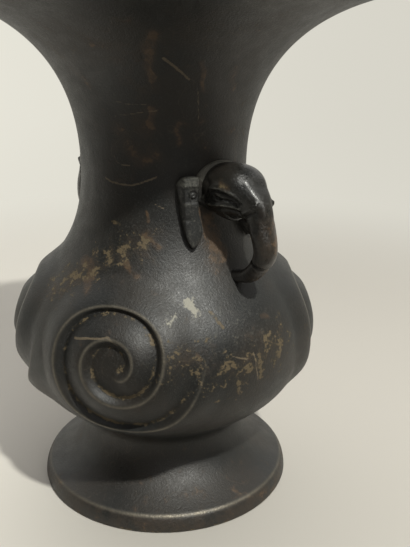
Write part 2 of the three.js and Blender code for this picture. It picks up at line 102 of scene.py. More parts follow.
band_top = (BAND_TOP_RADIUS, BAND_HEIGHT)
foot_flare = bezier([
    band_top,
    (BAND_TOP_RADIUS - FLARE_SWEEP_IN, BAND_HEIGHT + FLARE_SWEEP_UP),
    (STEM_RADIUS, STEM_HEIGHT - STEM_SWEEP_DOWN),
    (STEM_RADIUS, STEM_HEIGHT),
])
lower_belly = bezier([
    (STEM_RADIUS, STEM_HEIGHT),
    (STEM_RADIUS, STEM_HEIGHT + STEM_SWEEP_UP),
    (BELLY_RADIUS, BELLY_HEIGHT - BELLY_SWEEP_DOWN),
    (BELLY_RADIUS, BELLY_HEIGHT),
])
shoulder = bezier([
    (BELLY_RADIUS, BELLY_HEIGHT),
    (BELLY_RADIUS, BELLY_HEIGHT + BELLY_SWEEP_UP),
    (NECK_RADIUS, NECK_HEIGHT - NECK_SWEEP_DOWN),
    (NECK_RADIUS, NECK_HEIGHT),
])
trumpet = bezier([
    (NECK_RADIUS, NECK_HEIGHT),
    (NECK_RADIUS, NECK_HEIGHT + NECK_SWEEP_UP),
    (MOUTH_RADIUS - MOUTH_SWEEP_IN, MOUTH_HEIGHT - MOUTH_SWEEP_DOWN),
    (MOUTH_RADIUS, MOUTH_HEIGHT),
])
vessel_face = np.concatenate([foot_flare, lower_belly, shoulder, trumpet])


def face_radius(height):
    """The vessel's outer radius at a height."""
    return np.interp(height, vessel_face[:, 1], vessel_face[:, 0])


def even_points(line, count):
    """The line again, as points at even distances along it."""
    line = np.array(line, float)
    travelled = np.concatenate([[0], np.cumsum(np.linalg.norm(np.diff(line, axis=0), axis=1))])
    stops = np.linspace(0, travelled[-1], count)
    return np.stack([np.interp(stops, travelled, column) for column in line.T], axis=1)


def turned(outline, sides=SIDES):
    """Rings of points from an outline of radii and heights, turned about the vase's axis."""
    turn = np.linspace(0, 2 * np.pi, sides, endpoint=False)
    radius = outline[:, :1]
    height = outline[:, 1:] + 0 * turn
    return np.stack([radius * np.cos(turn), radius * np.sin(turn), height], axis=2)


def ring_faces(rows, sides, closed):
    """Four-sided faces between rings, also from the last back to the first where the outline is closed."""
    row = np.arange(rows if closed else rows - 1)[:, None]
    side = np.arange(sides)[None, :]
    above = (row + 1) % rows
    beside = (side + 1) % sides
    corners = [row * sides + side, row * sides + beside, above * sides + beside, above * sides + side]
    return np.stack(np.broadcast_arrays(*corners), axis=2).reshape(-1, 4).tolist()


def add_piece(name, rings, finish, nodes, closed=False):
    """A piece from rings of points: a closed outline, or a skin whose end rings get a lid each."""
    rows, sides, _ = rings.shape
    faces = ring_faces(rows, sides, closed)
    if not closed:
        faces.append(list(range(sides)))
        faces.append(list(range((rows - 1) * sides, rows * sides)))
    mesh = bpy.data.meshes.new(name)
    mesh.from_pydata((rings.reshape(-1, 3) * MM).tolist(), [], faces)
    shape = bmesh.new()
    shape.from_mesh(mesh)
    bmesh.ops.recalc_face_normals(shape, faces=shape.faces)
    shape.to_mesh(mesh)
    shape.free()
    mesh.shade_smooth()
    mesh.set_sharp_from_angle(angle=SHARP_EDGE)
    mesh.materials.append(finish)
    made = bpy.data.objects.new(name, mesh)
    bpy.context.scene.collection.objects.link(made)
    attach(made, "root")
    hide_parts(*nodes)
    return made


def mark(made, name, amounts):
    """Writes how strongly a kind of wear, dirt, painted shade or painted highlight shows at each point."""
    kind = made.data.attributes.new(name, "FLOAT", "POINT")
    kind.data.foreach_set("value", np.asarray(amounts, np.float32).ravel())


def smooth_step(value, low, high):
    """0 up to a low value, 1 from a high one, and a smooth rise between."""
    share = np.clip((value - low) / (high - low), 0, 1)
    return share * share * (3 - 2 * share)


class Wire:
    """A shader socket. Operators on it add Math nodes, and any other node comes from node()."""

    def __init__(self, tree, socket=None):
        self.tree = tree
        self.socket = socket

    def node(self, kind, settings, values, output=0):
        made = self.tree.nodes.new("ShaderNode" + kind)
        for setting, value in settings.items():
            setattr(made, setting, value)
        for name, value in values.items():
            if isinstance(value, Wire):
                self.tree.links.new(value.socket, made.inputs[name])
            else:
                made.inputs[name].default_value = value
        return Wire(self.tree, made.outputs[output])

    def maths(self, operation, first, second):
        return self.node("Math", {"operation": operation}, {0: first, 1: second})

    def between(self, low, high):
        """A smooth rise from 0 at a low value to 1 at a high one."""
        values = {"Value": self, "From Min": low, "From Max": high}
        return self.node("MapRange", {"interpolation_type": "SMOOTHSTEP"}, values)

    def blend(self, first, second):
        """A colour that passes from one to another with this share."""
        return self.node("Mix", {"data_type": "RGBA"}, {0: self, 6: first, 7: second}, output=2)

    def toward(self, way):
        """How far a place lies along a direction."""
        return self.node("VectorMath", {"operation": "DOT_PRODUCT"}, {0: self, 1: way}, output="Value")

    def __add__(self, other):
        return self.maths("ADD", self, other)

    def __sub__(self, other):
        return self.maths("SUBTRACT", self, other)

    def __rsub__(self, other):
        return self.maths("SUBTRACT", other, self)

    def __mul__(self, other):
        return self.maths("MULTIPLY", self, other)

    def __abs__(self):
        return self.node("Math", {"operation": "ABSOLUTE"}, {0: self})

    __radd__ = __add__
    __rmul__ = __mul__


BLACK_SKIN = (0.0100, 0.0108, 0.0102, 1)
WARM_SKIN = (0.0210, 0.0172, 0.0130, 1)
SANDY_SKIN = (0.0540, 0.0545, 0.0490, 1)
DARK_BROWN = (0.0480, 0.0330, 0.0215, 1)
RUBBED_BROWN = (0.1350, 0.0800, 0.0390, 1)
OLIVE_DIRT = (0.0520, 0.0410, 0.0225, 1)
TAN_CRUST = (0.1250, 0.0930, 0.0500, 1)
GREY_DUST_AND_SHEEN = (0.0950, 0.0940, 0.0780, 1)
SHADE_BLACK = (0.0040, 0.0040, 0.0040, 1)
PALE_CRUST = (0.3700, 0.3550, 0.2950, 1)
BARE_METAL = (0.3000, 0.2700, 0.2150, 1)
SCRATCH_TAN = (0.2000, 0.1560, 0.1000, 1)
# How fine each kind of unevenness in the bronze is, as spots in a metre.
CLOUDS = 32
THREADS = 75
BLOTCHES = 150
PATCHES = 250
GRAINS = 900
SANDS = 1500
HAIRLINES = 0.16
BUMP_STRENGTH = 0.75
BUMP_DEPTH = 0.0003
WAX_ROUGHNESS = 0.2


def bronze(name, roughness, ior, rub, wax):
    """Patinated bronze: a sandy black skin, rubbed brown, with grime, crusts, scratches and bare metal,
    dust with painted sheen, and painted shade in hollows.
    """
    made = bpy.data.materials.new(name)
    made.use_nodes = True
    tree = made.node_tree
    tree.nodes.remove(tree.nodes["Principled BSDF"])
    start = Wire(tree)
    place = start.node("TexCoord", {}, {}, output="Object")

    def noise(scale, detail, rough=0.55):
        values = {"Vector": place, "Scale": scale, "Detail": detail, "Roughness": rough}
        return start.node("TexNoise", {}, values)

    def marked(kind):
        return start.node("Attribute", {"attribute_name": kind}, {}, output="Fac")

    def either(first, second):
        return start.maths("MAXIMUM", first, second)

    cloud = noise(CLOUDS, 4)
    thread = noise(THREADS, 1)
    blotch = noise(BLOTCHES, 6, 0.62)
    patch = noise(PATCHES, 4, 0.6)
    grain = noise(GRAINS, 3)
    sand = noise(SANDS, 3, 0.7)

    def ragged(amount, by_patch, by_grain, low, high):
        """A stain whose edge is broken up by patches and grain."""
        return (amount + (patch - 0.5) * by_patch + (grain - 0.5) * by_grain).between(low, high)

    worn = marked("brown")
    rubbed = (worn + (blotch - 0.5) * 1.3 + (grain - 0.5) * 0.4).between(0.35, 0.9)
    rubbed = rubbed * worn.between(0, 0.25)
    brown = either(rubbed, (blotch + cloud * 0.35).between(0.81 - rub, 0.95 - rub))
    brown_core = (brown + (patch - 0.5) * 1.2).between(0.8, 1.15)
    grime = marked("dirt")
    dirt = ragged(grime * 0.8, 1.9, 0.9, 0.38, 0.70) * grime.between(0, 0.25)
    crust = ragged(dirt * 0.8, 1.4, 0.6, 0.62, 0.95) * dirt
    chalk = marked("pale")
    pale = ragged(chalk, 1.4, 1.6, 0.40, 0.75) * chalk.between(0.02, 0.2)
    # The dust mark is dust, and also painted sheen and highlights on lit tops and ridges.
    dust_and_sheen_mark = marked("dust_and_sheen")
    dust_and_sheen = ragged(dust_and_sheen_mark, 1.2, 1.6, 0.3, 0.9) * dust_and_sheen_mark.between(0, 0.3)
    hairline = 1 - abs(thread - 0.5).between(0.001, 0.007)
    hairline = hairline * (cloud + (patch - 0.5) * 0.5).between(0.50, 0.62)
    scored = (marked("scratch") + (grain - 0.5) * 0.5 + (blotch - 0.5) * 0.8).between(0.42, 0.75)
    scratch = either(scored, hairline * HAIRLINES)
    metal = marked("edge") * ((blotch + grain * 0.5).between(0.58, 0.92) * 0.5 + 0.5)
    # The dark mark is painted shade in grooves, cuts and the ear's sunk panel.
    painted_shade = marked("dark") * (1 - crust)
    # Each layer lies over the ones before it, from the patina to the crusts.
    colour = cloud.between(0.35, 0.65).blend(BLACK_SKIN, WARM_SKIN)
    colour = (sand.between(0.50, 0.78) * 0.9).blend(colour, SANDY_SKIN)
    colour = (brown * 0.75).blend(colour, DARK_BROWN)
    colour = (brown_core * 0.6).blend(colour, RUBBED_BROWN)
    colour = dust_and_sheen.blend(colour, GREY_DUST_AND_SHEEN)
    colour = painted_shade.blend(colour, SHADE_BLACK)
    colour = (dirt * 0.8).blend(colour, OLIVE_DIRT)
    colour = crust.blend(colour, TAN_CRUST)
    colour = (scratch * 0.7).blend(colour, SCRATCH_TAN)
    colour = metal.blend(colour, BARE_METAL)
    colour = pale.blend(colour, PALE_CRUST)
    uneven = (sand - 0.5) * 0.55 + (blotch - 0.5) * 0.30 + (cloud - 0.5) * 0.20
    matt = (dirt + painted_shade + pale + scratch + dust_and_sheen) * 0.15 - metal * 0.1
    height = grain * 0.5 + sand * 0.5 + brown * 0.15
    bump = start.node("Bump", {}, {"Strength": BUMP_STRENGTH, "Distance": BUMP_DEPTH, "Height": height})
    shaded = start.node("BsdfPrincipled", {}, {
        "Base Color": colour,
        "Roughness": uneven + matt + roughness,
        "Metallic": either(metal, painted_shade * (1 - dirt * 0.7)) * (1 - pale),
        "IOR": ior,
        "Coat Weight": (1 - dirt) * (1 - painted_shade) * (1 - pale) * wax,
        "Coat Roughness": WAX_ROUGHNESS,
        "Normal": bump,
    })
    tree.links.new(shaded.socket, tree.nodes["Material Output"].inputs["Surface"])
    return made


worn_bronze = bronze("worn_bronze", roughness=0.51, ior=1.62, rub=0.05, wax=0.0)
foot_bottom = [
    (PLATE_SEAT_RADIUS, LEDGE_HEIGHT),
    (PLATE_SEAT_RADIUS, 0),
    (FOOT_RADIUS - BAND_EDGE, 0),
    (FOOT_RADIUS - BAND_EDGE_CUT, BAND_EDGE_CUT),
    (FOOT_RADIUS, BAND_EDGE),
]
band_middle = (FOOT_RADIUS - BAND_SWELL, BAND_SWELL_HEIGHT)
foot_band = bezier([(FOOT_RADIUS, BAND_EDGE), band_middle, band_top], BAND_STEPS)
foot_band = foot_band[(foot_band[:, 1] > BAND_EDGE) & (foot_band[:, 1] < BAND_HEIGHT - RIM_ROUNDING)]
foot_rise = even_points(foot_flare, FLARE_STEPS)
foot_rise = foot_rise[foot_rise[:, 0] < BAND_TOP_RADIUS - RIM_ROUNDING]
foot_rim = bezier([foot_band[-1], band_top, foot_rise[0]], RIM_STEPS)[1:-1]
foot_neck_heights = np.linspace(STEM_HEIGHT, FOOT_SEAM, FOOT_NECK_STEPS)[1:]
foot_neck = np.stack([face_radius(foot_neck_heights), foot_neck_heights], 1)
foot_bore = face_radius(FOOT_SEAM) - FOOT_WALL
foot_inside_heights = np.linspace(INSIDE_TOP, INSIDE_LOW, FOOT_INSIDE_STEPS)
foot_inside_radii = np.minimum(face_radius(foot_inside_heights) - FOOT_WALL, LEDGE_RADIUS)
foot_inside = np.stack([foot_inside_radii, foot_inside_heights], 1)
foot_top = [(foot_bore, FOOT_SEAM)]
foot_ledge = [(LEDGE_RADIUS, LEDGE_HEIGHT)]
foot_outside = np.concatenate([foot_bottom, foot_band, foot_rim, foot_rise, foot_neck])
foot_outline = np.concatenate([foot_outside, foot_top, foot_inside, foot_ledge])
foot_rings = turned(foot_outline)
foot = add_piece("foot", foot_rings, worn_bronze, ["foot_casting"], closed=True)
# How strong the band's brown, the rim's bright line and the dirt above the ground are, and how wide. The
# bright line is worn metal, painted brighter at the front as a highlight.
BAND_INNER_MARGIN = 0.4
BAND_LOW_MARGIN = 0.1
BAND_BROWN = 0.6
RIM_LEAST_WEAR = 0.25
RIM_LINE_HALF_WIDTH = 0.7
LOW_DIRT = 0.7
LOW_DIRT_HEIGHT = 0.6
LOW_DIRT_HALF_WIDTH = 0.7
foot_radii = np.hypot(foot_rings[..., 0], foot_rings[..., 1])
foot_heights = foot_rings[..., 2]
on_band = (foot_radii > BAND_TOP_RADIUS - BAND_INNER_MARGIN) & (foot_heights > BAND_LOW_MARGIN)
foot_rim_gap = np.hypot(foot_radii - BAND_TOP_RADIUS, foot_heights - BAND_HEIGHT)
# The rim's bright line is worn metal all round, painted brighter towards the front as a highlight.
foot_front_gap = np.degrees(np.arctan2(foot_rings[..., 1], foot_rings[..., 0])) - RIM_GLINT_ANGLE
foot_rim_wear_and_glint = RIM_LEAST_WEAR + (1 - RIM_LEAST_WEAR) * np.exp(-(foot_front_gap / RIM_GLINT_REACH) ** 2)
low_dirt = np.exp(-((foot_heights - LOW_DIRT_HEIGHT) / LOW_DIRT_HALF_WIDTH) ** 2)
mark(foot, "brown", on_band * BAND_BROWN)
mark(foot, "edge", foot_rim_wear_and_glint * np.exp(-(foot_rim_gap / RIM_LINE_HALF_WIDTH) ** 2))
mark(foot, "dirt", low_dirt * on_band * LOW_DIRT)

# Base plate: a plain bronze disc let into the foot from below, against a ledge.
# It closes the hollow casting and lies clear of the ground.
patina_bronze = bronze("patina_bronze", roughness=0.51, ior=1.62, rub=0.03, wax=0.0)


def finish_node(node, finish):
    """A finished surface for a piece that keeps its solid."""
    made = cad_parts[node]
    made.data.materials.clear()
    made.data.materials.append(finish)


finish_node("base_plate", patina_bronze)

# Belly: the round body, cast in bronze with four spiral scrolls, two on each face.
# Each scroll is a ridge that rises from a fading tail and winds in to a pit, gentle outside, steep inside
# and with old dirt and painted shade in its grooves. A spigot below seats in the foot.
BELLY_SIDES = 840
BELLY_ROWS = 230
BELLY_INSIDE_ROWS = 28
NECK_SEAM = 124.0
WALL = 3.0
SPIGOT_LENGTH = 6.0
SPIGOT_WALL = 2.0
SEAT_GAP = 0.3
SOCKET_RADIUS = face_radius(NECK_SEAM) - WALL
SCROLL_ANGLES = (-55.8, -125.8, 124.2, 54.2)
SCROLL_HEIGHT = 83.8
SCROLL_TAIL_RADIUS = 37.3
SCROLL_STEP = 18.8
SCROLL_STEP_EASE = 2.05
SCROLL_TURNS = 2.3
SCROLL_TAIL_TURNS = 0.05
SCROLL_TAIL_FULL = 0.12
SCROLL_END_TURNS = 0.22
SCROLL_TAIL_SPREAD = 70.0
SCROLL_TAIL_ANGLE = -8.0
SCROLL_SQUEEZE = 1.06
SCROLL_RELIEF = 3.4
SCROLL_FLANK = 14.0
SCROLL_DROP = 3.9
GROOVE_HALF_WIDTH = 1.4
CREST_HALF_WIDTH = 0.5


def scroll(across, up):
    """How far a scroll stands out at points across and up from its centre, its groove and its crest."""
    radius = np.hypot(across * SCROLL_SQUEEZE, up)
    angle = np.degrees(np.arctan2(up, across * SCROLL_SQUEEZE))
    first = np.mod((SCROLL_TAIL_ANGLE - angle) / 360 + SCROLL_TAIL_TURNS, 1) - SCROLL_TAIL_TURNS
    proud = np.zeros_like(radius)
    groove = np.zeros_like(radius)
    crest = np.zeros_like(radius)
    for whole in range(math.ceil(SCROLL_TURNS + SCROLL_TAIL_TURNS)):
        turns = first + whole
        rise = smooth_step(turns, -SCROLL_TAIL_TURNS, SCROLL_TAIL_FULL)
        rise = rise * (1 - smooth_step(turns, SCROLL_TURNS - SCROLL_END_TURNS, SCROLL_TURNS))
        ridge = SCROLL_TAIL_RADIUS - SCROLL_STEP * turns + SCROLL_STEP_EASE * turns**2
        ridge = ridge + SCROLL_TAIL_SPREAD * np.maximum(SCROLL_TAIL_FULL - turns, 0) ** 2
        beyond = radius - ridge
        reach = np.where(beyond > 0, beyond / SCROLL_FLANK, -beyond / SCROLL_DROP)
        proud = np.maximum(proud, SCROLL_RELIEF * rise * (1 - smooth_step(reach, 0, 1)))
        groove = np.maximum(groove, rise * np.exp(-(((beyond + SCROLL_DROP) / GROOVE_HALF_WIDTH) ** 2)))
        crest = np.maximum(crest, rise * np.exp(-((beyond / CREST_HALF_WIDTH) ** 2)))
    return proud, groove, crest


belly_line = vessel_face[(vessel_face[:, 1] >= FOOT_SEAM) & (vessel_face[:, 1] <= NECK_SEAM)]
belly_ends = [[(face_radius(FOOT_SEAM), FOOT_SEAM)], belly_line, [(face_radius(NECK_SEAM), NECK_SEAM)]]
belly_face = even_points(np.concatenate(belly_ends), BELLY_ROWS)
climbed = np.concatenate([[0], np.cumsum(np.linalg.norm(np.diff(belly_face, axis=0), axis=1))])
scroll_climb = np.interp(SCROLL_HEIGHT, belly_face[:, 1], climbed)
belly_turn = np.linspace(0, 360, BELLY_SIDES, endpoint=False)
scrolls = []
for centre in SCROLL_ANGLES:
    aside = np.mod(belly_turn - centre + 180, 360) - 180
    across = np.radians(aside)[None, :] * belly_face[:, :1]
    scrolls.append(scroll(across, (climbed - scroll_climb)[:, None]))
belly_proud, belly_groove, belly_crest = np.max(scrolls, axis=0)

belly_inside_top = NECK_SEAM - SPIGOT_LENGTH - WALL
belly_inside_heights = np.linspace(belly_inside_top, FOOT_SEAM + 2 * WALL, BELLY_INSIDE_ROWS)
spigot_outer = face_radius(FOOT_SEAM) - FOOT_WALL - SEAT_GAP
spigot_bore = spigot_outer - SPIGOT_WALL
belly_inside = np.concatenate([
    [(SOCKET_RADIUS, NECK_SEAM), (SOCKET_RADIUS, NECK_SEAM - SPIGOT_LENGTH)],
    np.stack([face_radius(belly_inside_heights) - WALL, belly_inside_heights], 1),
    [(spigot_bore, FOOT_SEAM + WALL), (spigot_bore, FOOT_SEAM - SPIGOT_LENGTH)],
    [(spigot_outer, FOOT_SEAM - SPIGOT_LENGTH), (spigot_outer, FOOT_SEAM)],
])
outer_rings = turned(belly_face, BELLY_SIDES)
belly_out = 1 + belly_proud / belly_face[:, :1]
outer_rings[..., :2] *= belly_out[..., None]
belly_rings = np.concatenate([outer_rings, turned(belly_inside, BELLY_SIDES)])
belly = add_piece("belly", belly_rings, patina_bronze, ["belly_casting"], closed=True)


def outside_only(amounts):
    """Amounts for the belly's outer face, with none inside."""
    plain = np.zeros((len(belly_inside), BELLY_SIDES))
    return np.concatenate([amounts, plain])


# Stains on the vessel, with a painted shadow and painted sheen among them: kind, half width and strength,
# then the line it follows as degrees round and height.
STAINS = [
    ("brown", 3.2, 1.0, [(-42, 210), (-44, 202), (-44, 193)]),
    ("scratch", 0.6, 0.9, [(-38, 201), (-26, 193)]),
    ("brown", 1.6, 1.0, [(-21, 199), (-18, 189)]),
    ("scratch", 0.5, 0.7, [(-21, 189), (-19, 183), (-18, 177)]),
    ("scratch", 0.5, 0.7, [(-65, 184), (-57, 183), (-47, 183)]),
    ("scratch", 0.5, 0.7, [(-66, 178), (-58, 179), (-49, 180), (-41, 181)]),
    ("scratch", 0.5, 0.5, [(-34, 173), (-30, 172), (-25, 173)]),
    ("brown", 2.4, 1.0, [(-45, 181), (-45, 174)]),
    ("brown", 6.0, 0.7, [(-66, 166), (-42, 164)]),
    ("scratch", 0.6, 0.8, [(-79, 152), (-73, 150.6), (-66, 150), (-59, 150.2), (-53, 151), (-43, 154)]),
    ("scratch", 0.5, 0.7, [(-71, 162), (-70, 160), (-68, 158.8), (-65, 158.2), (-60, 158)]),
    ("scratch", 0.5, 0.5, [(-58, 166), (-56, 164.6), (-53, 164), (-50, 164.8), (-49, 166.4)]),
    ("brown", 5.0, 0.8, [(-64, 172), (-56, 162), (-48, 160)]),
    ("brown", 2.2, 0.9, [(-30, 176), (-29, 168)]),
    ("brown", 4.0, 0.7, [(-90, 205), (-84, 196), (-80, 190)]),
    ("brown", 3.0, 0.7, [(-4, 196), (0, 188)]),
    ("scratch", 0.5, 0.6, [(-66, 212), (-58, 203)]),
    ("brown", 3.0, 0.7, [(14, 168), (16, 158)]),
    ("dirt", 1.2, 0.9, [(-72, 134), (-67, 134)]),
    ("dirt", 1.5, 0.9, [(-63, 124), (-58, 127), (-52, 127)]),
    ("brown", 3.0, 1.0, [(-49, 130), (-43, 126)]),
    ("brown", 2.4, 1.0, [(-58, 119), (-52, 115)]),
    ("brown", 3.2, 1.0, [(-86, 116), (-80, 117), (-75, 109)]),
    ("dirt", 1.0, 0.6, [(-84, 116), (-76, 109)]),
    ("dirt", 1.8, 0.6, [(-94, 107), (-88, 111)]),
    ("scratch", 0.5, 0.8, [(-44, 143), (-38, 141)]),
    ("brown", 1.0, 1.0, [(-49, 140), (-48, 136)]),
    ("pale", 2.4, 0.9, [(-28, 106), (-26, 103)]),
    ("pale", 1.7, 0.7, [(-37, 101), (-34, 102)]),
    ("dirt", 9.0, 0.62, [(-95, 106), (-80, 114), (-62, 124), (-50, 126)]),
    ("brown", 10.0, 0.60, [(-95, 106), (-80, 114), (-62, 124), (-50, 126)]),
    ("dirt", 13.0, 0.60, [(-32, 86), (-12, 78), (8, 84)]),
    ("brown", 12.0, 0.50, [(-30, 88), (-12, 80), (8, 86)]),
    ("brown", 10.0, 0.60, [(-60, 206), (-45, 190), (-52, 165)]),
    # The head's shadow on the shoulder, painted in as a warm brown.
    ("brown", 8.0, 0.95, [(-14, 136), (-8, 120)]),
    ("dirt", 1.1, 0.9, [(-19, 103), (-18, 100), (-16, 97)]),
    ("dirt", 1.0, 0.8, [(-31, 91), (-30, 90)]),
    ("brown", 1.4, 1.0, [(-27, 88), (-26, 86)]),
    ("brown", 1.6, 1.0, [(3, 97), (6, 96)]),
    ("dirt", 1.4, 0.8, [(3, 87), (10, 83)]),
    ("dirt", 1.2, 0.7, [(1, 79), (6, 78)]),
    ("scratch", 0.5, 0.8, [(-5, 85), (-3, 72)]),
    ("scratch", 0.5, 0.8, [(-15, 86), (-8, 83)]),
    ("dirt", 0.8, 0.7, [(-23, 66), (-14, 67)]),
    ("scratch", 0.5, 1.0, [(-72, 92), (-58, 95), (-55, 92)]),
    ("dirt", 1.8, 0.8, [(-22, 78), (-14, 82)]),
    # Grey dust on the belly's front right shoulder, with painted sheen.
    ("dust_and_sheen", 20.0, 0.28, [(-36, 99), (-22, 95), (-6, 90)]),
]
# The far side has the same wear, scattered: half width and strength of each kind, and where it may lie.
WEAR_SEED = 11
WEAR_COUNT = 40
WEAR_KINDS = {"brown": (6.0, 0.38), "dirt": (4.5, 0.36), "scratch": (0.45, 0.6)}
WEAR_ANGLES = (20, 250)
WEAR_HEIGHTS = (62, 205)
WEAR_REACH = 9
WEAR_WIDTHS = (0.6, 1.3)
wear = np.random.default_rng(WEAR_SEED)
for _ in range(WEAR_COUNT):
    kind = wear.choice(list(WEAR_KINDS))
    half_width, strength = WEAR_KINDS[kind]
    at = np.array([wear.uniform(*WEAR_ANGLES), wear.uniform(*WEAR_HEIGHTS)])
    way = wear.uniform(-WEAR_REACH, WEAR_REACH, 2)
    STAINS.append((kind, half_width * wear.uniform(*WEAR_WIDTHS), strength, [tuple(at), tuple(at + way)]))


def line_distance(spots, line):
    """How far each spot lies from a line of straight stretches."""
    nearest = np.full(spots.shape[:-1], np.inf)
    for start, end in zip(line, line[1:]):
        way = end - start
        share = np.clip((spots - start) @ way / (way @ way), 0, 1)
        nearest = np.minimum(nearest, np.linalg.norm(spots - start - share[..., None] * way, axis=-1))
    return nearest


def near_line(spots, line, half_width):
    """1 on a line, and less with the distance from it."""
    return np.exp(-(line_distance(spots, line) / half_width) ** 2)


STAIN_WAVE = 0.7
STAIN_WAVE_WIDTH = 3.0
STAIN_WAVE_RATES = (0.8, 0.6)


def stained(rings, wanted):
    """How strongly one kind of stain, painted shadow or painted sheen shows at each point of the vessel."""
    degrees = np.degrees(np.arctan2(rings[..., 1], rings[..., 0]))
    amounts = np.zeros(rings.shape[:2])
    for kind, half_width, strength, line in STAINS:
        if kind != wanted:
            continue
        line = np.array(line, float)
        middle = line.mean(axis=0)
        mm_per_degree = math.radians(1) * face_radius(middle[1])
        aside = np.mod(degrees - middle[0] + 180, 360) - 180
        spots = np.stack([aside * mm_per_degree, rings[..., 2]], axis=-1)
        flat_line = np.stack([(line[:, 0] - middle[0]) * mm_per_degree, line[:, 1]], axis=1)
        wave = STAIN_WAVE * min(1.0, half_width / STAIN_WAVE_WIDTH)
        spots = spots + wave * np.sin(spots[..., ::-1] * STAIN_WAVE_RATES + middle[0])
        amounts = np.maximum(amounts, strength * near_line(spots, flat_line, half_width))
    return amounts


for kind in ("brown", "pale", "scratch", "dust_and_sheen"):
    mark(belly, kind, outside_only(stained(outer_rings, kind)))
# Dirt lies thickest on the lower stretches of the grooves, which face up.
GROOVE_DIRT_LEAST = 0.65
GROOVE_DIRT_FROM = SCROLL_HEIGHT + 8
GROOVE_DIRT_FULL = SCROLL_HEIGHT - 18
GROOVE_SHADE = 0.12
CREST_WEAR = 0.8
groove_below = 1 - smooth_step(outer_rings[..., 2], GROOVE_DIRT_FULL, GROOVE_DIRT_FROM)
groove_dirt = belly_groove * (GROOVE_DIRT_LEAST + (1 - GROOVE_DIRT_LEAST) * groove_below)
mark(belly, "dirt", outside_only(np.maximum(groove_dirt, stained(outer_rings, "dirt"))))
# Painted shade in the grooves.
mark(belly, "dark", outside_only(belly_groove * GROOVE_SHADE))
mark(belly, "edge", outside_only(belly_crest) * CREST_WEAR)

# Neck: a plain bronze casting that runs up into a wide trumpet mouth with a thickened lip.
# Its spigot seats in the belly, and the seam is chased flush.
LIP_THICKNESS = 3.8
# The lip's curve, out and up from the mouth's edge.
LIP_CONTROLS = [(0, 0), (1.6, 0.6), (0.6, LIP_THICKNESS + 0.4), (-2.4, LIP_THICKNESS - 0.7)]
LIP_STEPS = 14
NECK_SIDES = 600
NECK_ROWS = 190
NECK_INSIDE_ROWS = 60
neck_line = vessel_face[(vessel_face[:, 1] >= NECK_SEAM) & (vessel_face[:, 1] <= NECK_HEIGHT)]
neck_start = [(face_radius(NECK_SEAM), NECK_SEAM)]
neck_face = even_points(np.concatenate([neck_start, neck_line, trumpet[1:]]), NECK_ROWS)
along = np.gradient(neck_face, axis=0)
along /= np.linalg.norm(along, axis=1)[:, None]
neck_inside = neck_face + WALL * np.stack([-along[:, 1], along[:, 0]], 1)
above_spigot = neck_inside[:, 1] > NECK_SEAM + SPIGOT_LENGTH
neck_inside = even_points(neck_inside[above_spigot][::-1], NECK_INSIDE_ROWS)
lip_controls = [(MOUTH_RADIUS + out, MOUTH_HEIGHT + up) for out, up in LIP_CONTROLS]
lip = bezier(lip_controls + [tuple(neck_inside[0])], LIP_STEPS)[1:-1]
neck_spigot = [
    (SOCKET_RADIUS - SEAT_GAP - SPIGOT_WALL, NECK_SEAM - SPIGOT_LENGTH),
    (SOCKET_RADIUS - SEAT_GAP, NECK_SEAM - SPIGOT_LENGTH),
    (SOCKET_RADIUS - SEAT_GAP, NECK_SEAM),
]
neck_outline = np.concatenate([neck_face, lip, neck_inside, neck_spigot])
neck_rings = turned(neck_outline, NECK_SIDES)
neck = add_piece("neck", neck_rings, patina_bronze, ["neck_casting"], closed=True)
for kind in ("brown", "dirt", "scratch"):
    mark(neck, kind, stained(neck_rings, kind))

# Elephant heads: solid bronze castings, one each side of the neck, held by a tenon through its wall.
# The brow runs down into a trunk that bends back to the shoulder. Lids, cheek folds and lips are chased
# into the metal, and hands have polished the forehead.
HEAD_ROWS = 280
HEAD_SIDES = 240
HANDLE_HEIGHT = 148.2
NECK_AT_HEAD = face_radius(HANDLE_HEIGHT)
# From the neck to the trunk's tip: place out and up, half width, and half depth above and below.
HEAD_STATIONS = [
    (35.5, 147.4, 9.5, 9.4, 10.0),
    (42.0, 148.8, 11.0, 10.4, 12.0),
    (50.4, 148.6, 10.8, 10.6, 11.4),
    (56.0, 145.8, 7.6, 7.8, 8.6),
    (60.0, 141.6, 5.6, 6.9, 5.4),
    (63.0, 135.6, 5.8, 4.8, 4.5),
    (64.8, 126.5, 4.8, 5.2, 4.3),
    (61.8, 119.6, 4.3, 3.6, 4.0),
    (57.4, 115.4, 3.8, 3.4, 3.4),
    (52.8, 113.4, 3.2, 2.8, 2.8),
    (46.6, 112.0, 2.8, 2.4, 2.4),
]
# The forehead is squarer in section than an ellipse, most of all at this station and round it.
FOREHEAD_STATION = 3
FOREHEAD_REACH = 1.3
FOREHEAD_SQUARENESS = 0.5
UPPER_LID = [(43.1, 150.2), (47.3, 151.0), (50.3, 151.0), (54.8, 149.3), (57.4, 146.9)]
UNDER_LID = [(43.8, 149.2), (47.3, 149.9), (50.3, 149.9), (54.5, 148.1), (57.0, 145.8)]
EYE_HOLLOW = [(44.0, 146.8), (50.0, 147.0), (55.0, 145.6)]
EYE_SLIT = [(47.2, 148.8), (48.8, 148.6), (50.8, 147.7)]
UNDER_EYE = [(46.6, 147.5), (49.6, 147.2), (53.0, 146.5), (55.6, 145.4)]
LOWER_LID = [(45.9, 146.6), (48.9, 146.2), (52.0, 145.8), (55.0, 145.2)]
CHEEK_FOLD = [(38.6, 146.0), (39.8, 144.2), (43.7, 143.6), (49.7, 144.6), (53.4, 144.2), (56.2, 143.6)]
UNDER_CHEEK = [(40.0, 142.2), (43.8, 141.9), (49.7, 142.8), (53.4, 142.4), (56.0, 141.8)]
MOUTH = [(57.8, 140.4), (60.4, 141.4), (63.4, 143.2)]
UPPER_LIP = [(57.4, 141.8), (59.7, 142.9), (63.1, 144.6)]
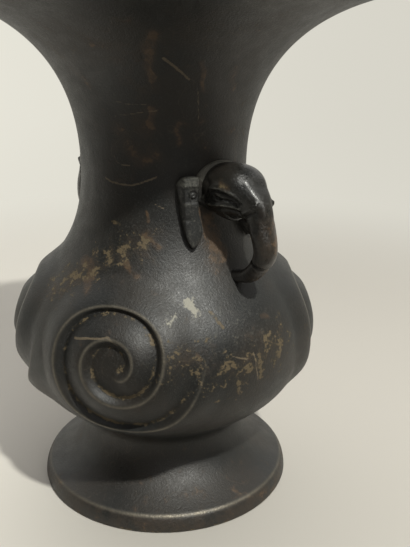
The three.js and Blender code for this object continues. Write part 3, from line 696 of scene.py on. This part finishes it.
LOWER_LIP = [(55.4, 140.4), (56.4, 138.6), (59.0, 138.0), (61.6, 139.4)]
BESIDE_TRUNK = [(63.9, 145.5), (64.6, 143.3), (64.8, 140.1), (64.0, 136.0)]
TEMPLE = [(39.2, 153.4), (42.7, 151.7), (40.9, 147.4)]
# How far each stroke stands out of the metal, or is cut in, its half width, and its line out and up.
HEAD_STROKES = [
    (0.50, 0.70, UPPER_LID),
    (-0.60, 0.50, UNDER_LID),
    (-0.50, 2.20, EYE_HOLLOW),
    (0.40, 0.45, EYE_SLIT),
    (-0.40, 0.45, UNDER_EYE),
    (0.30, 0.55, LOWER_LID),
    (0.70, 0.65, CHEEK_FOLD),
    (-0.50, 0.80, UNDER_CHEEK),
    (-0.50, 0.55, MOUTH),
    (0.50, 0.55, UPPER_LIP),
    (0.40, 0.80, LOWER_LIP),
    (-0.40, 1.60, BESIDE_TRUNK),
    (-0.45, 1.00, TEMPLE),
]
# How far each swelling stands out, its half width, and its line out, across and up.
BROW_RIDGE = [(58.0, 4.9, 154.2), (60.4, 4.3, 151.1), (64.4, 3.2, 146.2), (66.4, 2.2, 141.6)]
HEAD_SWELLINGS = [
    (0.50, 3.4, [(49.0, 10.8, 147.0), (51.0, 10.6, 147.0)]),
    (1.20, 5.0, [(48.0, 0.0, 137.2), (50.0, 0.0, 137.4)]),
    (1.40, 1.0, [(63.4, 4.6, 146.0), (63.8, 4.6, 145.6)]),
    (0.22, 1.3, BROW_RIDGE),
]
STROKE_POINTS = 20
# Strokes lie where the head faces sideways: from where they start to show to where they are full.
SIDE_FACING = (0.25, 0.6)
TRUNK_OUT = 60.0
TRUNK_CREASE_HEIGHT = 121.6
TRUNK_CREASE = 0.55
TRUNK_CREASE_HALF_WIDTH = 0.6
# Wrinkles and brown on the trunk: where they start and end, as lengths along the head from the neck.
TRUNK_WRINKLE = 0.02
TRUNK_WRINKLE_STEP = 2.5
TRUNK_WRINKLE_SWAY = 0.9
TRUNK_WRINKLES_START = (28, 36)
TRUNK_WRINKLES_END = (58, 66)
TRUNK_BROWN = 0.75
TRUNK_BROWN_START = (20, 34)
TRUNK_BROWN_ABOVE = 0.45
BROW_SPOT = [(48.9, 153.1), (52.5, 151.9)]
BROW_SPOT_HALF_WIDTH = 1.9
BROW_SPOT_BROWN = 0.9
BROW_SPOT_DIRT = 0.62
RIDGE_MOST_HIGHLIGHT = 0.6
CUT_SHADE = 0.65
polished_bronze = bronze("polished_bronze", roughness=0.38, ior=1.70, rub=0.0, wax=0.15)


def through(points, count):
    """A smooth line through points, drawn with a count of points in all."""
    points = np.array(points, float)
    last = len(points) - 1
    spot = np.linspace(0, last, count)
    start = np.minimum(spot.astype(int), last - 1)
    share = (spot - start)[:, None]
    before, here, after, later = (points[np.clip(start + step, 0, last)] for step in (-1, 0, 1, 2))
    bend = 2 * before - 5 * here + 4 * after - later
    twist = 3 * here - before - 3 * after + later
    return here + 0.5 * ((after - before) * share + bend * share**2 + twist * share**3)


def outward(rings):
    """Unit directions out of a swept surface, away from the middle of each ring."""
    around = np.roll(rings, -1, axis=1) - np.roll(rings, 1, axis=1)
    direction = np.cross(around, np.gradient(rings, axis=0))
    direction /= np.linalg.norm(direction, axis=2, keepdims=True)
    from_middle = rings - rings.mean(axis=1, keepdims=True)
    return direction * np.sign((direction * from_middle).sum(axis=2, keepdims=True))


head_line = through(HEAD_STATIONS, HEAD_ROWS)
head_middle = head_line[:, :2]
head_way = np.gradient(head_middle, axis=0)
head_way /= np.linalg.norm(head_way, axis=1)[:, None]
head_turn = np.linspace(0, 2 * np.pi, HEAD_SIDES, endpoint=False)
head_spot = np.linspace(0, len(HEAD_STATIONS) - 1, HEAD_ROWS)[:, None]
squareness = FOREHEAD_SQUARENESS * np.exp(-((head_spot - FOREHEAD_STATION) / FOREHEAD_REACH) ** 2)
section_power = 2 / (2 + squareness)
head_across = np.sign(np.cos(head_turn)) * np.abs(np.cos(head_turn)) ** section_power
head_depth = np.sign(np.sin(head_turn)) * np.abs(np.sin(head_turn)) ** section_power
head_depth = head_depth * np.where(head_depth > 0, head_line[:, 3:4], head_line[:, 4:5])
head_rings = np.stack([
    head_middle[:, :1] - head_way[:, 1:] * head_depth,
    head_line[:, 2:3] * head_across,
    head_middle[:, 1:] + head_way[:, :1] * head_depth,
], axis=2)
head_travelled = np.cumsum(np.linalg.norm(np.gradient(head_middle, axis=0), axis=1))
trunk_start = np.argmax(head_middle[:, 0] > TRUNK_OUT)
crease_row = trunk_start + np.argmax(head_middle[trunk_start:, 1] < TRUNK_CREASE_HEIGHT)
crease_gap = (head_travelled - head_travelled[crease_row])[:, None]
side_view = head_rings[..., [0, 2]]
on_side = smooth_step(np.abs(outward(head_rings)[..., 1]), *SIDE_FACING)
head_raised = np.zeros(head_rings.shape[:2])
head_cut = np.zeros(head_rings.shape[:2])
head_ridge = np.zeros(head_rings.shape[:2])
for height, half_width, stroke in HEAD_STROKES:
    amount = height * on_side * near_line(side_view, through(stroke, STROKE_POINTS), half_width)
    head_raised += amount
    head_cut = np.maximum(head_cut, -amount)
    head_ridge = np.maximum(head_ridge, amount)
half_head = np.stack([head_rings[..., 0], np.abs(head_rings[..., 1]), head_rings[..., 2]], axis=2)
for height, half_width, swelling in HEAD_SWELLINGS:
    head_raised += height * near_line(half_head, np.array(swelling), half_width)
crease = np.exp(-(crease_gap / TRUNK_CREASE_HALF_WIDTH) ** 2)
wrinkled = smooth_step(head_travelled, *TRUNK_WRINKLES_START)
wrinkled = wrinkled * (1 - smooth_step(head_travelled, *TRUNK_WRINKLES_END))
wrinkle_phase = 2 * np.pi * head_travelled[:, None] / TRUNK_WRINKLE_STEP
wrinkle_phase = wrinkle_phase + TRUNK_WRINKLE_SWAY * np.cos(2 * head_turn)
head_raised += wrinkled[:, None] * TRUNK_WRINKLE * np.sin(wrinkle_phase) - TRUNK_CREASE * crease
head_cut = np.maximum(head_cut, TRUNK_CREASE * crease)
head_rings = head_rings + outward(head_rings) * head_raised[..., None]
trunk_brown = TRUNK_BROWN * smooth_step(head_travelled, *TRUNK_BROWN_START)[:, None]
trunk_brown = trunk_brown * (1 - TRUNK_BROWN_ABOVE + TRUNK_BROWN_ABOVE * np.sin(head_turn))
brow_spot = near_line(head_rings[..., [0, 2]], np.array(BROW_SPOT), BROW_SPOT_HALF_WIDTH)


def half_turned(rings, hand):
    """The right handle's points, or the same turned half round the vase for the left handle."""
    return rings * ((1, 1, 1) if hand == "right" else (-1, -1, 1))


for hand in ("right", "left"):
    node = hand + "_elephant_head"
    rings = half_turned(head_rings, hand)
    head = add_piece(node + "_cast", rings, polished_bronze, [node])
    mark(head, "brown", np.maximum(trunk_brown, brow_spot * BROW_SPOT_BROWN))
    mark(head, "dirt", brow_spot * BROW_SPOT_DIRT)
    # Raised lids, folds and lips are painted paler as highlights.
    mark(head, "dust_and_sheen", np.clip(head_ridge, 0, RIDGE_MOST_HIGHLIGHT))
    mark(head, "dark", np.clip(head_cut * CUT_SHADE, 0, 1))

# Head collars: the oval flange at the root of each head, cast with it, which follows the neck.
# Its sides stop at the ears, and its upper edge is rubbed tan and painted lighter as a highlight.
COLLAR_HALF_WIDTH = 13.2
COLLAR_HALF_HEIGHT = 11.4
COLLAR_LOW_HALF_HEIGHT = 8.4
COLLAR_SIDE_STOP = 11.2
COLLAR_STOP_HEIGHT = 154.6
COLLAR_WEAR_AND_HIGHLIGHT_START = 149.0
COLLAR_WEAR_AND_HIGHLIGHT_FULL = 154.0
COLLAR_BARE_METAL_AND_HIGHLIGHT = 0.2
COLLAR_SIDES = 160
# Share of the collar's half sizes, and how far it stands off the neck there.
COLLAR_SECTION = [
    (0.70, 0.05),
    (1.0, 0.05),
    (1.0, 0.7),
    (0.985, 1.0),
    (0.93, 1.5),
    (0.80, 2.1),
    (0.70, 2.2),
]
collar_turn = np.linspace(0, 2 * np.pi, COLLAR_SIDES, endpoint=False)
collar_rows = []
for share, stand_off in COLLAR_SECTION:
    half_height = np.where(np.sin(collar_turn) > 0, COLLAR_HALF_HEIGHT, COLLAR_LOW_HALF_HEIGHT)
    height = HANDLE_HEIGHT + half_height * share * np.sin(collar_turn)
    side_stop = np.where(height < COLLAR_STOP_HEIGHT, COLLAR_SIDE_STOP, COLLAR_HALF_WIDTH)
    across = np.clip(COLLAR_HALF_WIDTH * share * np.cos(collar_turn), -side_stop, side_stop)
    radius = face_radius(height) + stand_off
    angle = across / NECK_AT_HEAD
    collar_rows.append(np.stack([radius * np.cos(angle), radius * np.sin(angle), height], axis=1))
collar_rings = np.array(collar_rows)
# The collar's upper edge is worn, and painted lighter and barer as a highlight.
collar_wear_and_highlight = smooth_step(collar_rings[..., 2], COLLAR_WEAR_AND_HIGHLIGHT_START, COLLAR_WEAR_AND_HIGHLIGHT_FULL)
for hand in ("right", "left"):
    node = hand + "_elephant_head"
    rings = half_turned(collar_rings, hand)
    collar = add_piece(hand + "_head_collar", rings, worn_bronze, [node], closed=True)
    mark(collar, "dust_and_sheen", collar_wear_and_highlight)
    mark(collar, "edge", collar_wear_and_highlight * COLLAR_BARE_METAL_AND_HIGHLIGHT)

# Ears: cast bronze flaps riveted to the neck beside each head, their backs fitted to it.
# Each has a bevelled edge, a sunk panel for the rivet and a rounded tip.
EAR_THICKNESS = 4.0
EAR_TIP_THICKNESS = 2.3
EAR_TOP = 154.2
EAR_TIP = 125.2
EAR_RIVET_HEIGHT = 146.5
EAR_HEAD_CLEARANCE = 14.3
EAR_POINTS = 220
EAR_SHRINKS = np.concatenate([[0, 0.02, 0.05, 0.08, 0.12], np.linspace(0.16, 0.96, 40)])
EAR_BACK_SHRINKS = (0.96, 0.7, 0.4, 0.15, 0)
EAR_BACK_GAP = 0.05
EAR_FITTINGS = 6
# Where the forms on an ear's face lie about its rivet, away from the head and up, and how deep they are.
EAR_PANEL_AWAY = (-2.9, 4.4)
EAR_PANEL_UP = (-2.9, 3.2)
EAR_PANEL_SOFT = 0.6
EAR_PANEL_DEPTH = 0.4
EAR_RING_RADIUS = 1.6
EAR_RING_HALF_WIDTH = 0.32
EAR_RING_DEPTH = 0.35
EAR_SWELL_AWAY = -0.6
EAR_SWELL_UP = -15.5
EAR_SWELL_HALF_WIDTH = 3.4
EAR_SWELL_HALF_LENGTH = 5.6
EAR_SWELL_HEIGHT = 0.5
EAR_NOTCH_AWAY = (0.4, 2.6)
EAR_NOTCH_UP = -9.8
EAR_NOTCH_HALF_WIDTH = 0.8
EAR_NOTCH_DEPTH = 0.35
EAR_RIM_WIDTH = 0.35
EAR_RIM_DEPTH = 0.45
EAR_TOP_BEVEL = 0.9
EAR_TOP_BEVEL_UP = (6.6, 7.8)
EAR_SIDE_BEVEL = 2.5
EAR_SIDE_BEVEL_AWAY = (3.2, 5.6)
EAR_THICKENS_UP = (-17, 0)
EAR_SPINE_AWAY = [-0.4, 0.9, 1.6]
EAR_SPINE_UP = [-18.0, -8.0, 4.0]
EAR_DUST = 0.30
EAR_TOP_HIGHLIGHT = 0.35
EAR_TOP_HIGHLIGHT_UP = (-1, 6)
EAR_BROWN = 0.3
EAR_SHADE_UP = (-4, 4)
EAR_SHADE_SOFT = 0.5
EAR_SHADE_DEPTH = 1.2
# Outline about the rivet: away from the head, and up.
EAR_OUTLINE = [
    (-2.7, 6.4),
    (-2.0, 7.5),
    (2.0, 7.7),
    (4.4, 7.0),
    (5.6, 5.4),
    (5.6, 1.0),
    (4.9, -4.0),
    (4.4, -8.0),
    (3.9, -13.0),
    (2.9, -17.4),
    (1.5, -20.6),
    (0.5, -21.5),
    (-0.8, -20.9),
    (-2.5, -18.5),
    (-3.7, -16.0),
    (-4.0, -14.1),
    (-3.2, -10.6),
    (-2.3, -7.4),
    (-2.2, -3.4),
    (-2.6, 1.0),
    (-2.7, 3.7),
]
ear_lean = math.atan2(face_radius(EAR_TIP) - face_radius(EAR_TOP), EAR_TOP - EAR_TIP)
ear_back = face_radius(EAR_TOP) + (EAR_TOP - EAR_RIVET_HEIGHT) * math.tan(ear_lean) + SEAT_GAP
ear_turn = math.asin(EAR_HEAD_CLEARANCE / ear_back)


def ear_to_vase(points, side, hand):
    """From an ear's own frame, out from its back, away from the head and up from its rivet, to the vase."""
    out, away, up = points[..., 0], points[..., 1] * side, points[..., 2]
    leaning_out = ear_back + out * math.cos(ear_lean) - up * math.sin(ear_lean)
    height = EAR_RIVET_HEIGHT + out * math.sin(ear_lean) + up * math.cos(ear_lean)
    cosine, sine = math.cos(side * ear_turn), math.sin(side * ear_turn)
    x = cosine * leaning_out - sine * away
    y = sine * leaning_out + cosine * away
    return half_turned(np.stack([x, y, height], axis=-1), hand)


def inside(value, low, high, soft):
    """1 between two values and 0 beyond them, with soft ends."""
    return smooth_step(value, low - soft, low + soft) * (1 - smooth_step(value, high - soft, high + soft))


def ear_relief(away, up, from_edge):
    """How far the ear's face lies above or below its plain level."""
    panel = inside(away, *EAR_PANEL_AWAY, EAR_PANEL_SOFT) * inside(up, *EAR_PANEL_UP, EAR_PANEL_SOFT)
    from_rivet = np.hypot(away, up)
    ring = np.exp(-((from_rivet - EAR_RING_RADIUS) / EAR_RING_HALF_WIDTH) ** 2)
    swell_away = (away - EAR_SWELL_AWAY) / EAR_SWELL_HALF_WIDTH
    swell_up = (up - EAR_SWELL_UP) / EAR_SWELL_HALF_LENGTH
    swell = np.exp(-(swell_away**2 + swell_up**2))
    notch = np.exp(-((up - EAR_NOTCH_UP) / EAR_NOTCH_HALF_WIDTH) ** 2) * smooth_step(away, *EAR_NOTCH_AWAY)
    rim = np.exp(-from_edge / EAR_RIM_WIDTH)
    sunk = EAR_PANEL_DEPTH * panel + EAR_RING_DEPTH * ring + EAR_NOTCH_DEPTH * notch + EAR_RIM_DEPTH * rim
    return EAR_SWELL_HEIGHT * swell - sunk


def ear_bevel(away, up):
    """How far the ear's top and outer edges fall away."""
    at_top = smooth_step(up, *EAR_TOP_BEVEL_UP)
    at_side = smooth_step(away, *EAR_SIDE_BEVEL_AWAY)
    return EAR_TOP_BEVEL * at_top + EAR_SIDE_BEVEL * at_side


ear_edge = through(EAR_OUTLINE + EAR_OUTLINE[:1], EAR_POINTS + 1)[:-1]
ear_spine_up = np.clip(ear_edge[:, 1], EAR_SPINE_UP[0], EAR_SPINE_UP[-1])
ear_spine = np.stack([np.interp(ear_spine_up, EAR_SPINE_UP, EAR_SPINE_AWAY), ear_spine_up], axis=1)
front_rows = [ear_edge + (ear_spine - ear_edge) * shrink for shrink in EAR_SHRINKS]
ear_front = np.array([
    np.column_stack([ear_relief(row[:, 0], row[:, 1], np.linalg.norm(row - ear_edge, axis=1)), row])
    for row in front_rows
])
ear_hollows = -ear_front[..., 0]
above_tip = smooth_step(ear_front[..., 2], *EAR_THICKENS_UP)
ear_thickness = EAR_TIP_THICKNESS + (EAR_THICKNESS - EAR_TIP_THICKNESS) * above_tip
ear_front[..., 0] += ear_thickness - ear_bevel(ear_front[..., 1], ear_front[..., 2])
ear_rear = np.array([
    np.column_stack([np.zeros(EAR_POINTS), ear_edge + (ear_spine - ear_edge) * shrink])
    for shrink in EAR_BACK_SHRINKS
])
for _ in range(EAR_FITTINGS):
    placed = ear_to_vase(ear_rear, 1, "right")
    off_neck = np.hypot(placed[..., 0], placed[..., 1]) - face_radius(placed[..., 2])
    ear_rear[..., 0] -= off_neck - EAR_BACK_GAP
ear_points = np.concatenate([ear_rear, ear_front])
ear_grooves = np.concatenate([np.zeros(ear_rear.shape[:2]), ear_hollows])
# The ear is dusty all over, and its top is painted lighter as a highlight.
ear_dust_and_highlight = EAR_DUST + EAR_TOP_HIGHLIGHT * smooth_step(ear_points[..., 2], *EAR_TOP_HIGHLIGHT_UP)
ear_shade = np.clip(ear_grooves / EAR_SHADE_DEPTH, 0, 1)
ear_shade = ear_shade * inside(ear_points[..., 2], *EAR_SHADE_UP, EAR_SHADE_SOFT)
dull_bronze = bronze("dull_bronze", roughness=0.62, ior=1.65, rub=0.0, wax=0.0)
EAR_SIDES = {"right": {"front": -1, "back": 1}, "left": {"front": 1, "back": -1}}
for hand, places in EAR_SIDES.items():
    for place, side in places.items():
        node = hand + "_" + place + "_ear"
        rings = ear_to_vase(ear_points, side, hand)
        ear = add_piece(node + "_cast", rings, dull_bronze, [node])
        mark(ear, "dust_and_sheen", ear_dust_and_highlight)
        mark(ear, "dark", ear_shade)
        mark(ear, "brown", np.full(ear_grooves.shape, EAR_BROWN))

# Ear rivets: round bronze rivets, each through its ear and the neck's wall and hammered over.
# The head stands in the ear's sunk panel, with a small dent in its middle.
RIVET_RADIUS = 1.2
RIVET_MIDDLE = 0.05
RIVET_TAIL = -6.0
RIVET_SINK = 0.5
RIVET_SIDES = 40
# The rivet's head: radius, and height over the panel.
RIVET_HEAD = [
    (RIVET_RADIUS, -0.4),
    (RIVET_RADIUS, 0.0),
    (1.1, 0.18),
    (0.85, 0.33),
    (0.5, 0.34),
    (0.25, 0.2),
    (RIVET_MIDDLE, 0.16),
]
rivet_outline = [(RIVET_MIDDLE, RIVET_TAIL), (RIVET_RADIUS, RIVET_TAIL)]
rivet_outline += [(radius, EAR_THICKNESS - RIVET_SINK + over) for radius, over in RIVET_HEAD]
rivet_turn = np.linspace(0, 2 * np.pi, RIVET_SIDES, endpoint=False)
rivet_points = np.array([
    np.column_stack([
        np.full(RIVET_SIDES, height),
        radius * np.cos(rivet_turn),
        radius * np.sin(rivet_turn),
    ])
    for radius, height in rivet_outline
])
for hand, places in EAR_SIDES.items():
    for place, side in places.items():
        node = hand + "_" + place + "_ear_rivet"
        rings = ear_to_vase(rivet_points, side, hand)
        add_piece(node + "_cast", rings, worn_bronze, [node])

# Washers and trunk pins: turned bronze washers under the peened tenons inside the neck,
# and plain pins that hold each trunk's tip to the shoulder.
for hand in ("right", "left"):
    finish_node(hand + "_head_washer", patina_bronze)
    finish_node(hand + "_trunk_pin", patina_bronze)

# Floor and backdrop: one pale paper sweep all round, flat under the vase and curved up into a low wall.
# Far from the vase the paper glows, brighter to the left; the plain paper is also painted lighter to the
# left as a pool of light, and in front the bronze mirrors it dimly.
FLOOR_RADIUS = 1100.0
SWEEP_RADIUS = 1400.0
SWEEP_STEPS = 16
WALL_TOP = 650.0
FLOOR_SIDES = 96
floor_sweep = [(FLOOR_RADIUS, 0), (SWEEP_RADIUS, 0), (SWEEP_RADIUS, SWEEP_RADIUS - FLOOR_RADIUS)]
floor_line = np.concatenate([
    [(1.0, 0.0), (FLOOR_RADIUS, 0.0)],
    bezier(floor_sweep, SWEEP_STEPS)[1:],
    [(SWEEP_RADIUS, WALL_TOP)],
])
PALE_PAPER = (0.585, 0.560, 0.512, 1)
LEFT_PAPER = (0.770, 0.742, 0.680, 1)
DIM_PAPER = (0.06, 0.058, 0.055, 1)
FRONT_BAND = 0.3
RIGHT_GLOW = (0.68, 0.66, 0.585, 1)
LEFT_GLOW = (0.81, 0.79, 0.70, 1)
PAPER_ROUGHNESS = 0.9
PAPER_SHINE = 0.1
TO_THE_BACK = (-0.788, 0.616, 0)
TO_THE_LEFT = (-0.659, -0.752, 0)
FRONT_LEFT = (0.198, -0.980, 0)
# Where on the floor each change starts and is complete, in metres from the vase's middle.
FAR_FLOOR = (0.26, 0.60)
FARTHER_FLOOR = (0.40, 0.85)
BACK_FLOOR = (-0.3, 0.4)
FRONT_BAND_START = (0.17, 0.27)
FRONT_BAND_END = (0.45, 0.65)
FRONT_FLOOR = (0.07, 0.15)
FRONT_LEFT_FLOOR = (0.13, 0.24)
LEFT_PAPER_FLOOR = (0.0, 0.12)
LEFT_GLOW_FLOOR = (-0.5, 0.7)
paper = bpy.data.materials.new("paper")
paper.use_nodes = True
paper_tree = paper.node_tree
paper_tree.nodes.remove(paper_tree.nodes["Principled BSDF"])
sheet = Wire(paper_tree)
spot = sheet.node("NewGeometry", {}, {}, output="Position")
flat_spot = sheet.node("VectorMath", {"operation": "MULTIPLY"}, {0: spot, 1: (1, 1, 0)})
spot_distance = sheet.node("VectorMath", {"operation": "LENGTH"}, {0: flat_spot}, output="Value")
behind = spot.toward(TO_THE_BACK)
leftward = spot.toward(TO_THE_LEFT)
far = spot_distance.between(*FAR_FLOOR)
farther = spot_distance.between(*FARTHER_FLOOR)
at_back = behind.between(*BACK_FLOOR)
front_band = spot_distance.between(*FRONT_BAND_START) * (1 - spot_distance.between(*FRONT_BAND_END))
at_front = (behind * -1).between(*FRONT_FLOOR)
at_front_left = spot.toward(FRONT_LEFT).between(*FRONT_LEFT_FLOOR)
in_front_of_vase = sheet.maths("MAXIMUM", at_front_left, at_front)
camera_ray = sheet.node("LightPath", {}, {}, output="Is Camera Ray")
seen = camera_ray + sheet.node("LightPath", {}, {}, output="Is Glossy Ray")
seen = seen + sheet.node("LightPath", {}, {}, output="Is Transmission Ray")
glow = leftward.between(*LEFT_GLOW_FLOOR).blend(RIGHT_GLOW, LEFT_GLOW)
# The plain paper's colour is painted lighter towards the left, as a pool of light.
pale_paper = leftward.between(*LEFT_PAPER_FLOOR).blend(PALE_PAPER, LEFT_PAPER)
dimmed = in_front_of_vase * (1 - front_band * FRONT_BAND) * (1 - camera_ray)
plain_paper = sheet.node("BsdfPrincipled", {}, {
    "Base Color": dimmed.blend(pale_paper, DIM_PAPER),
    "Roughness": PAPER_ROUGHNESS,
    "Specular IOR Level": PAPER_SHINE,
})
glow_paper = sheet.node("Emission", {}, {"Color": glow})
glowing = far * at_back * seen + farther * (1 - at_back) * camera_ray
paper_mix = sheet.node("MixShader", {}, {0: glowing, 1: plain_paper, 2: glow_paper})
paper_tree.links.new(paper_mix.socket, paper_tree.nodes["Material Output"].inputs["Surface"])
floor_rings = turned(floor_line, FLOOR_SIDES)
floor_mesh = bpy.data.meshes.new("floor")
floor_faces = ring_faces(len(floor_line), FLOOR_SIDES, False) + [list(range(FLOOR_SIDES))]
floor_mesh.from_pydata((floor_rings.reshape(-1, 3) * MM).tolist(), [], floor_faces)
floor_mesh.shade_smooth()
floor_mesh.materials.append(paper)
floor = bpy.data.objects.new("floor", floor_mesh)
bpy.context.scene.collection.objects.link(floor)

# Light: one small lamp high at the front right, which throws the shadow to the left.
# The sky is brightest high up behind the vase, and a soft patch of it shines from the front right.
LAMP_PLACE = Vector((0.76, -0.15, 1.16))
LAMP_AIM = Vector((0, 0, 0.1))
LAMP_ACROSS = 0.06
LAMP_WATTS = 13.9
LAMP_COLOUR = (1.0, 0.995, 0.925)
SKY_COLOUR = (1.0, 0.98, 0.95, 1)
SKY_LOW = 0.03
SKY_HIGH = 1.25
SKY_MIDDLE = (-0.454, 0.355, 0.817)
SKY_SPREAD = (0.50, 0.95)
FRONT_GLOW = 1.2
FRONT_GLOW_MIDDLE = (0.799, -0.220, 0.559)
FRONT_GLOW_SPREAD = (0.86, 0.98)
lamp_data = bpy.data.lights.new("lamp", "AREA")
lamp_data.shape = "DISK"
lamp_data.size = LAMP_ACROSS
lamp_data.energy = LAMP_WATTS
lamp_data.color = LAMP_COLOUR
lamp = bpy.data.objects.new("lamp", lamp_data)
lamp.location = LAMP_PLACE
lamp.rotation_euler = (LAMP_AIM - LAMP_PLACE).to_track_quat("-Z", "Y").to_euler()
bpy.context.scene.collection.objects.link(lamp)
world = bpy.data.worlds.new("sky")
world.use_nodes = True
background = world.node_tree.nodes["Background"]
background.inputs["Color"].default_value = SKY_COLOUR
sky = Wire(world.node_tree)
look = sky.node("TexCoord", {}, {}, output="Generated")
high_up = look.toward(SKY_MIDDLE).between(*SKY_SPREAD)
front_right = look.toward(FRONT_GLOW_MIDDLE).between(*FRONT_GLOW_SPREAD)
sky_strength = high_up * (SKY_HIGH - SKY_LOW) + SKY_LOW + front_right * FRONT_GLOW
world.node_tree.links.new(sky_strength.socket, background.inputs["Strength"])
bpy.context.scene.world = world
bpy.context.scene.view_settings.view_transform = "Standard"

# Camera: close to the vase and as high as its mouth, looking down on it.
# Its level is off by half a degree, as in the photo.
CAMERA_PLACE = Vector((0.2661, -0.2079, 0.2175))
CAMERA_HEADING = math.radians(138.787)
CAMERA_PITCH = math.radians(19.1514)
CAMERA_ROLL = math.radians(0.6129)
CAMERA_LENS = 49.89
CAMERA_SENSOR = 36.0
CAMERA_NEAREST = 0.01
camera_data = bpy.data.cameras.new("camera")
camera_data.lens = CAMERA_LENS
camera_data.sensor_width = CAMERA_SENSOR
camera_data.clip_start = CAMERA_NEAREST
camera = bpy.data.objects.new("camera", camera_data)
heading = Vector((math.cos(CAMERA_HEADING), math.sin(CAMERA_HEADING), 0))
forward = heading * math.cos(CAMERA_PITCH) - Vector((0, 0, math.sin(CAMERA_PITCH)))
level_right = forward.cross(Vector((0, 0, 1))).normalized()
level_up = level_right.cross(forward)
right = level_right * math.cos(CAMERA_ROLL) + level_up * math.sin(CAMERA_ROLL)
up = right.cross(forward)
camera_turn = Matrix((right, up, -forward)).transposed().to_4x4()
camera.matrix_world = Matrix.Translation(CAMERA_PLACE) @ camera_turn
bpy.context.scene.collection.objects.link(camera)
bpy.context.scene.camera = camera
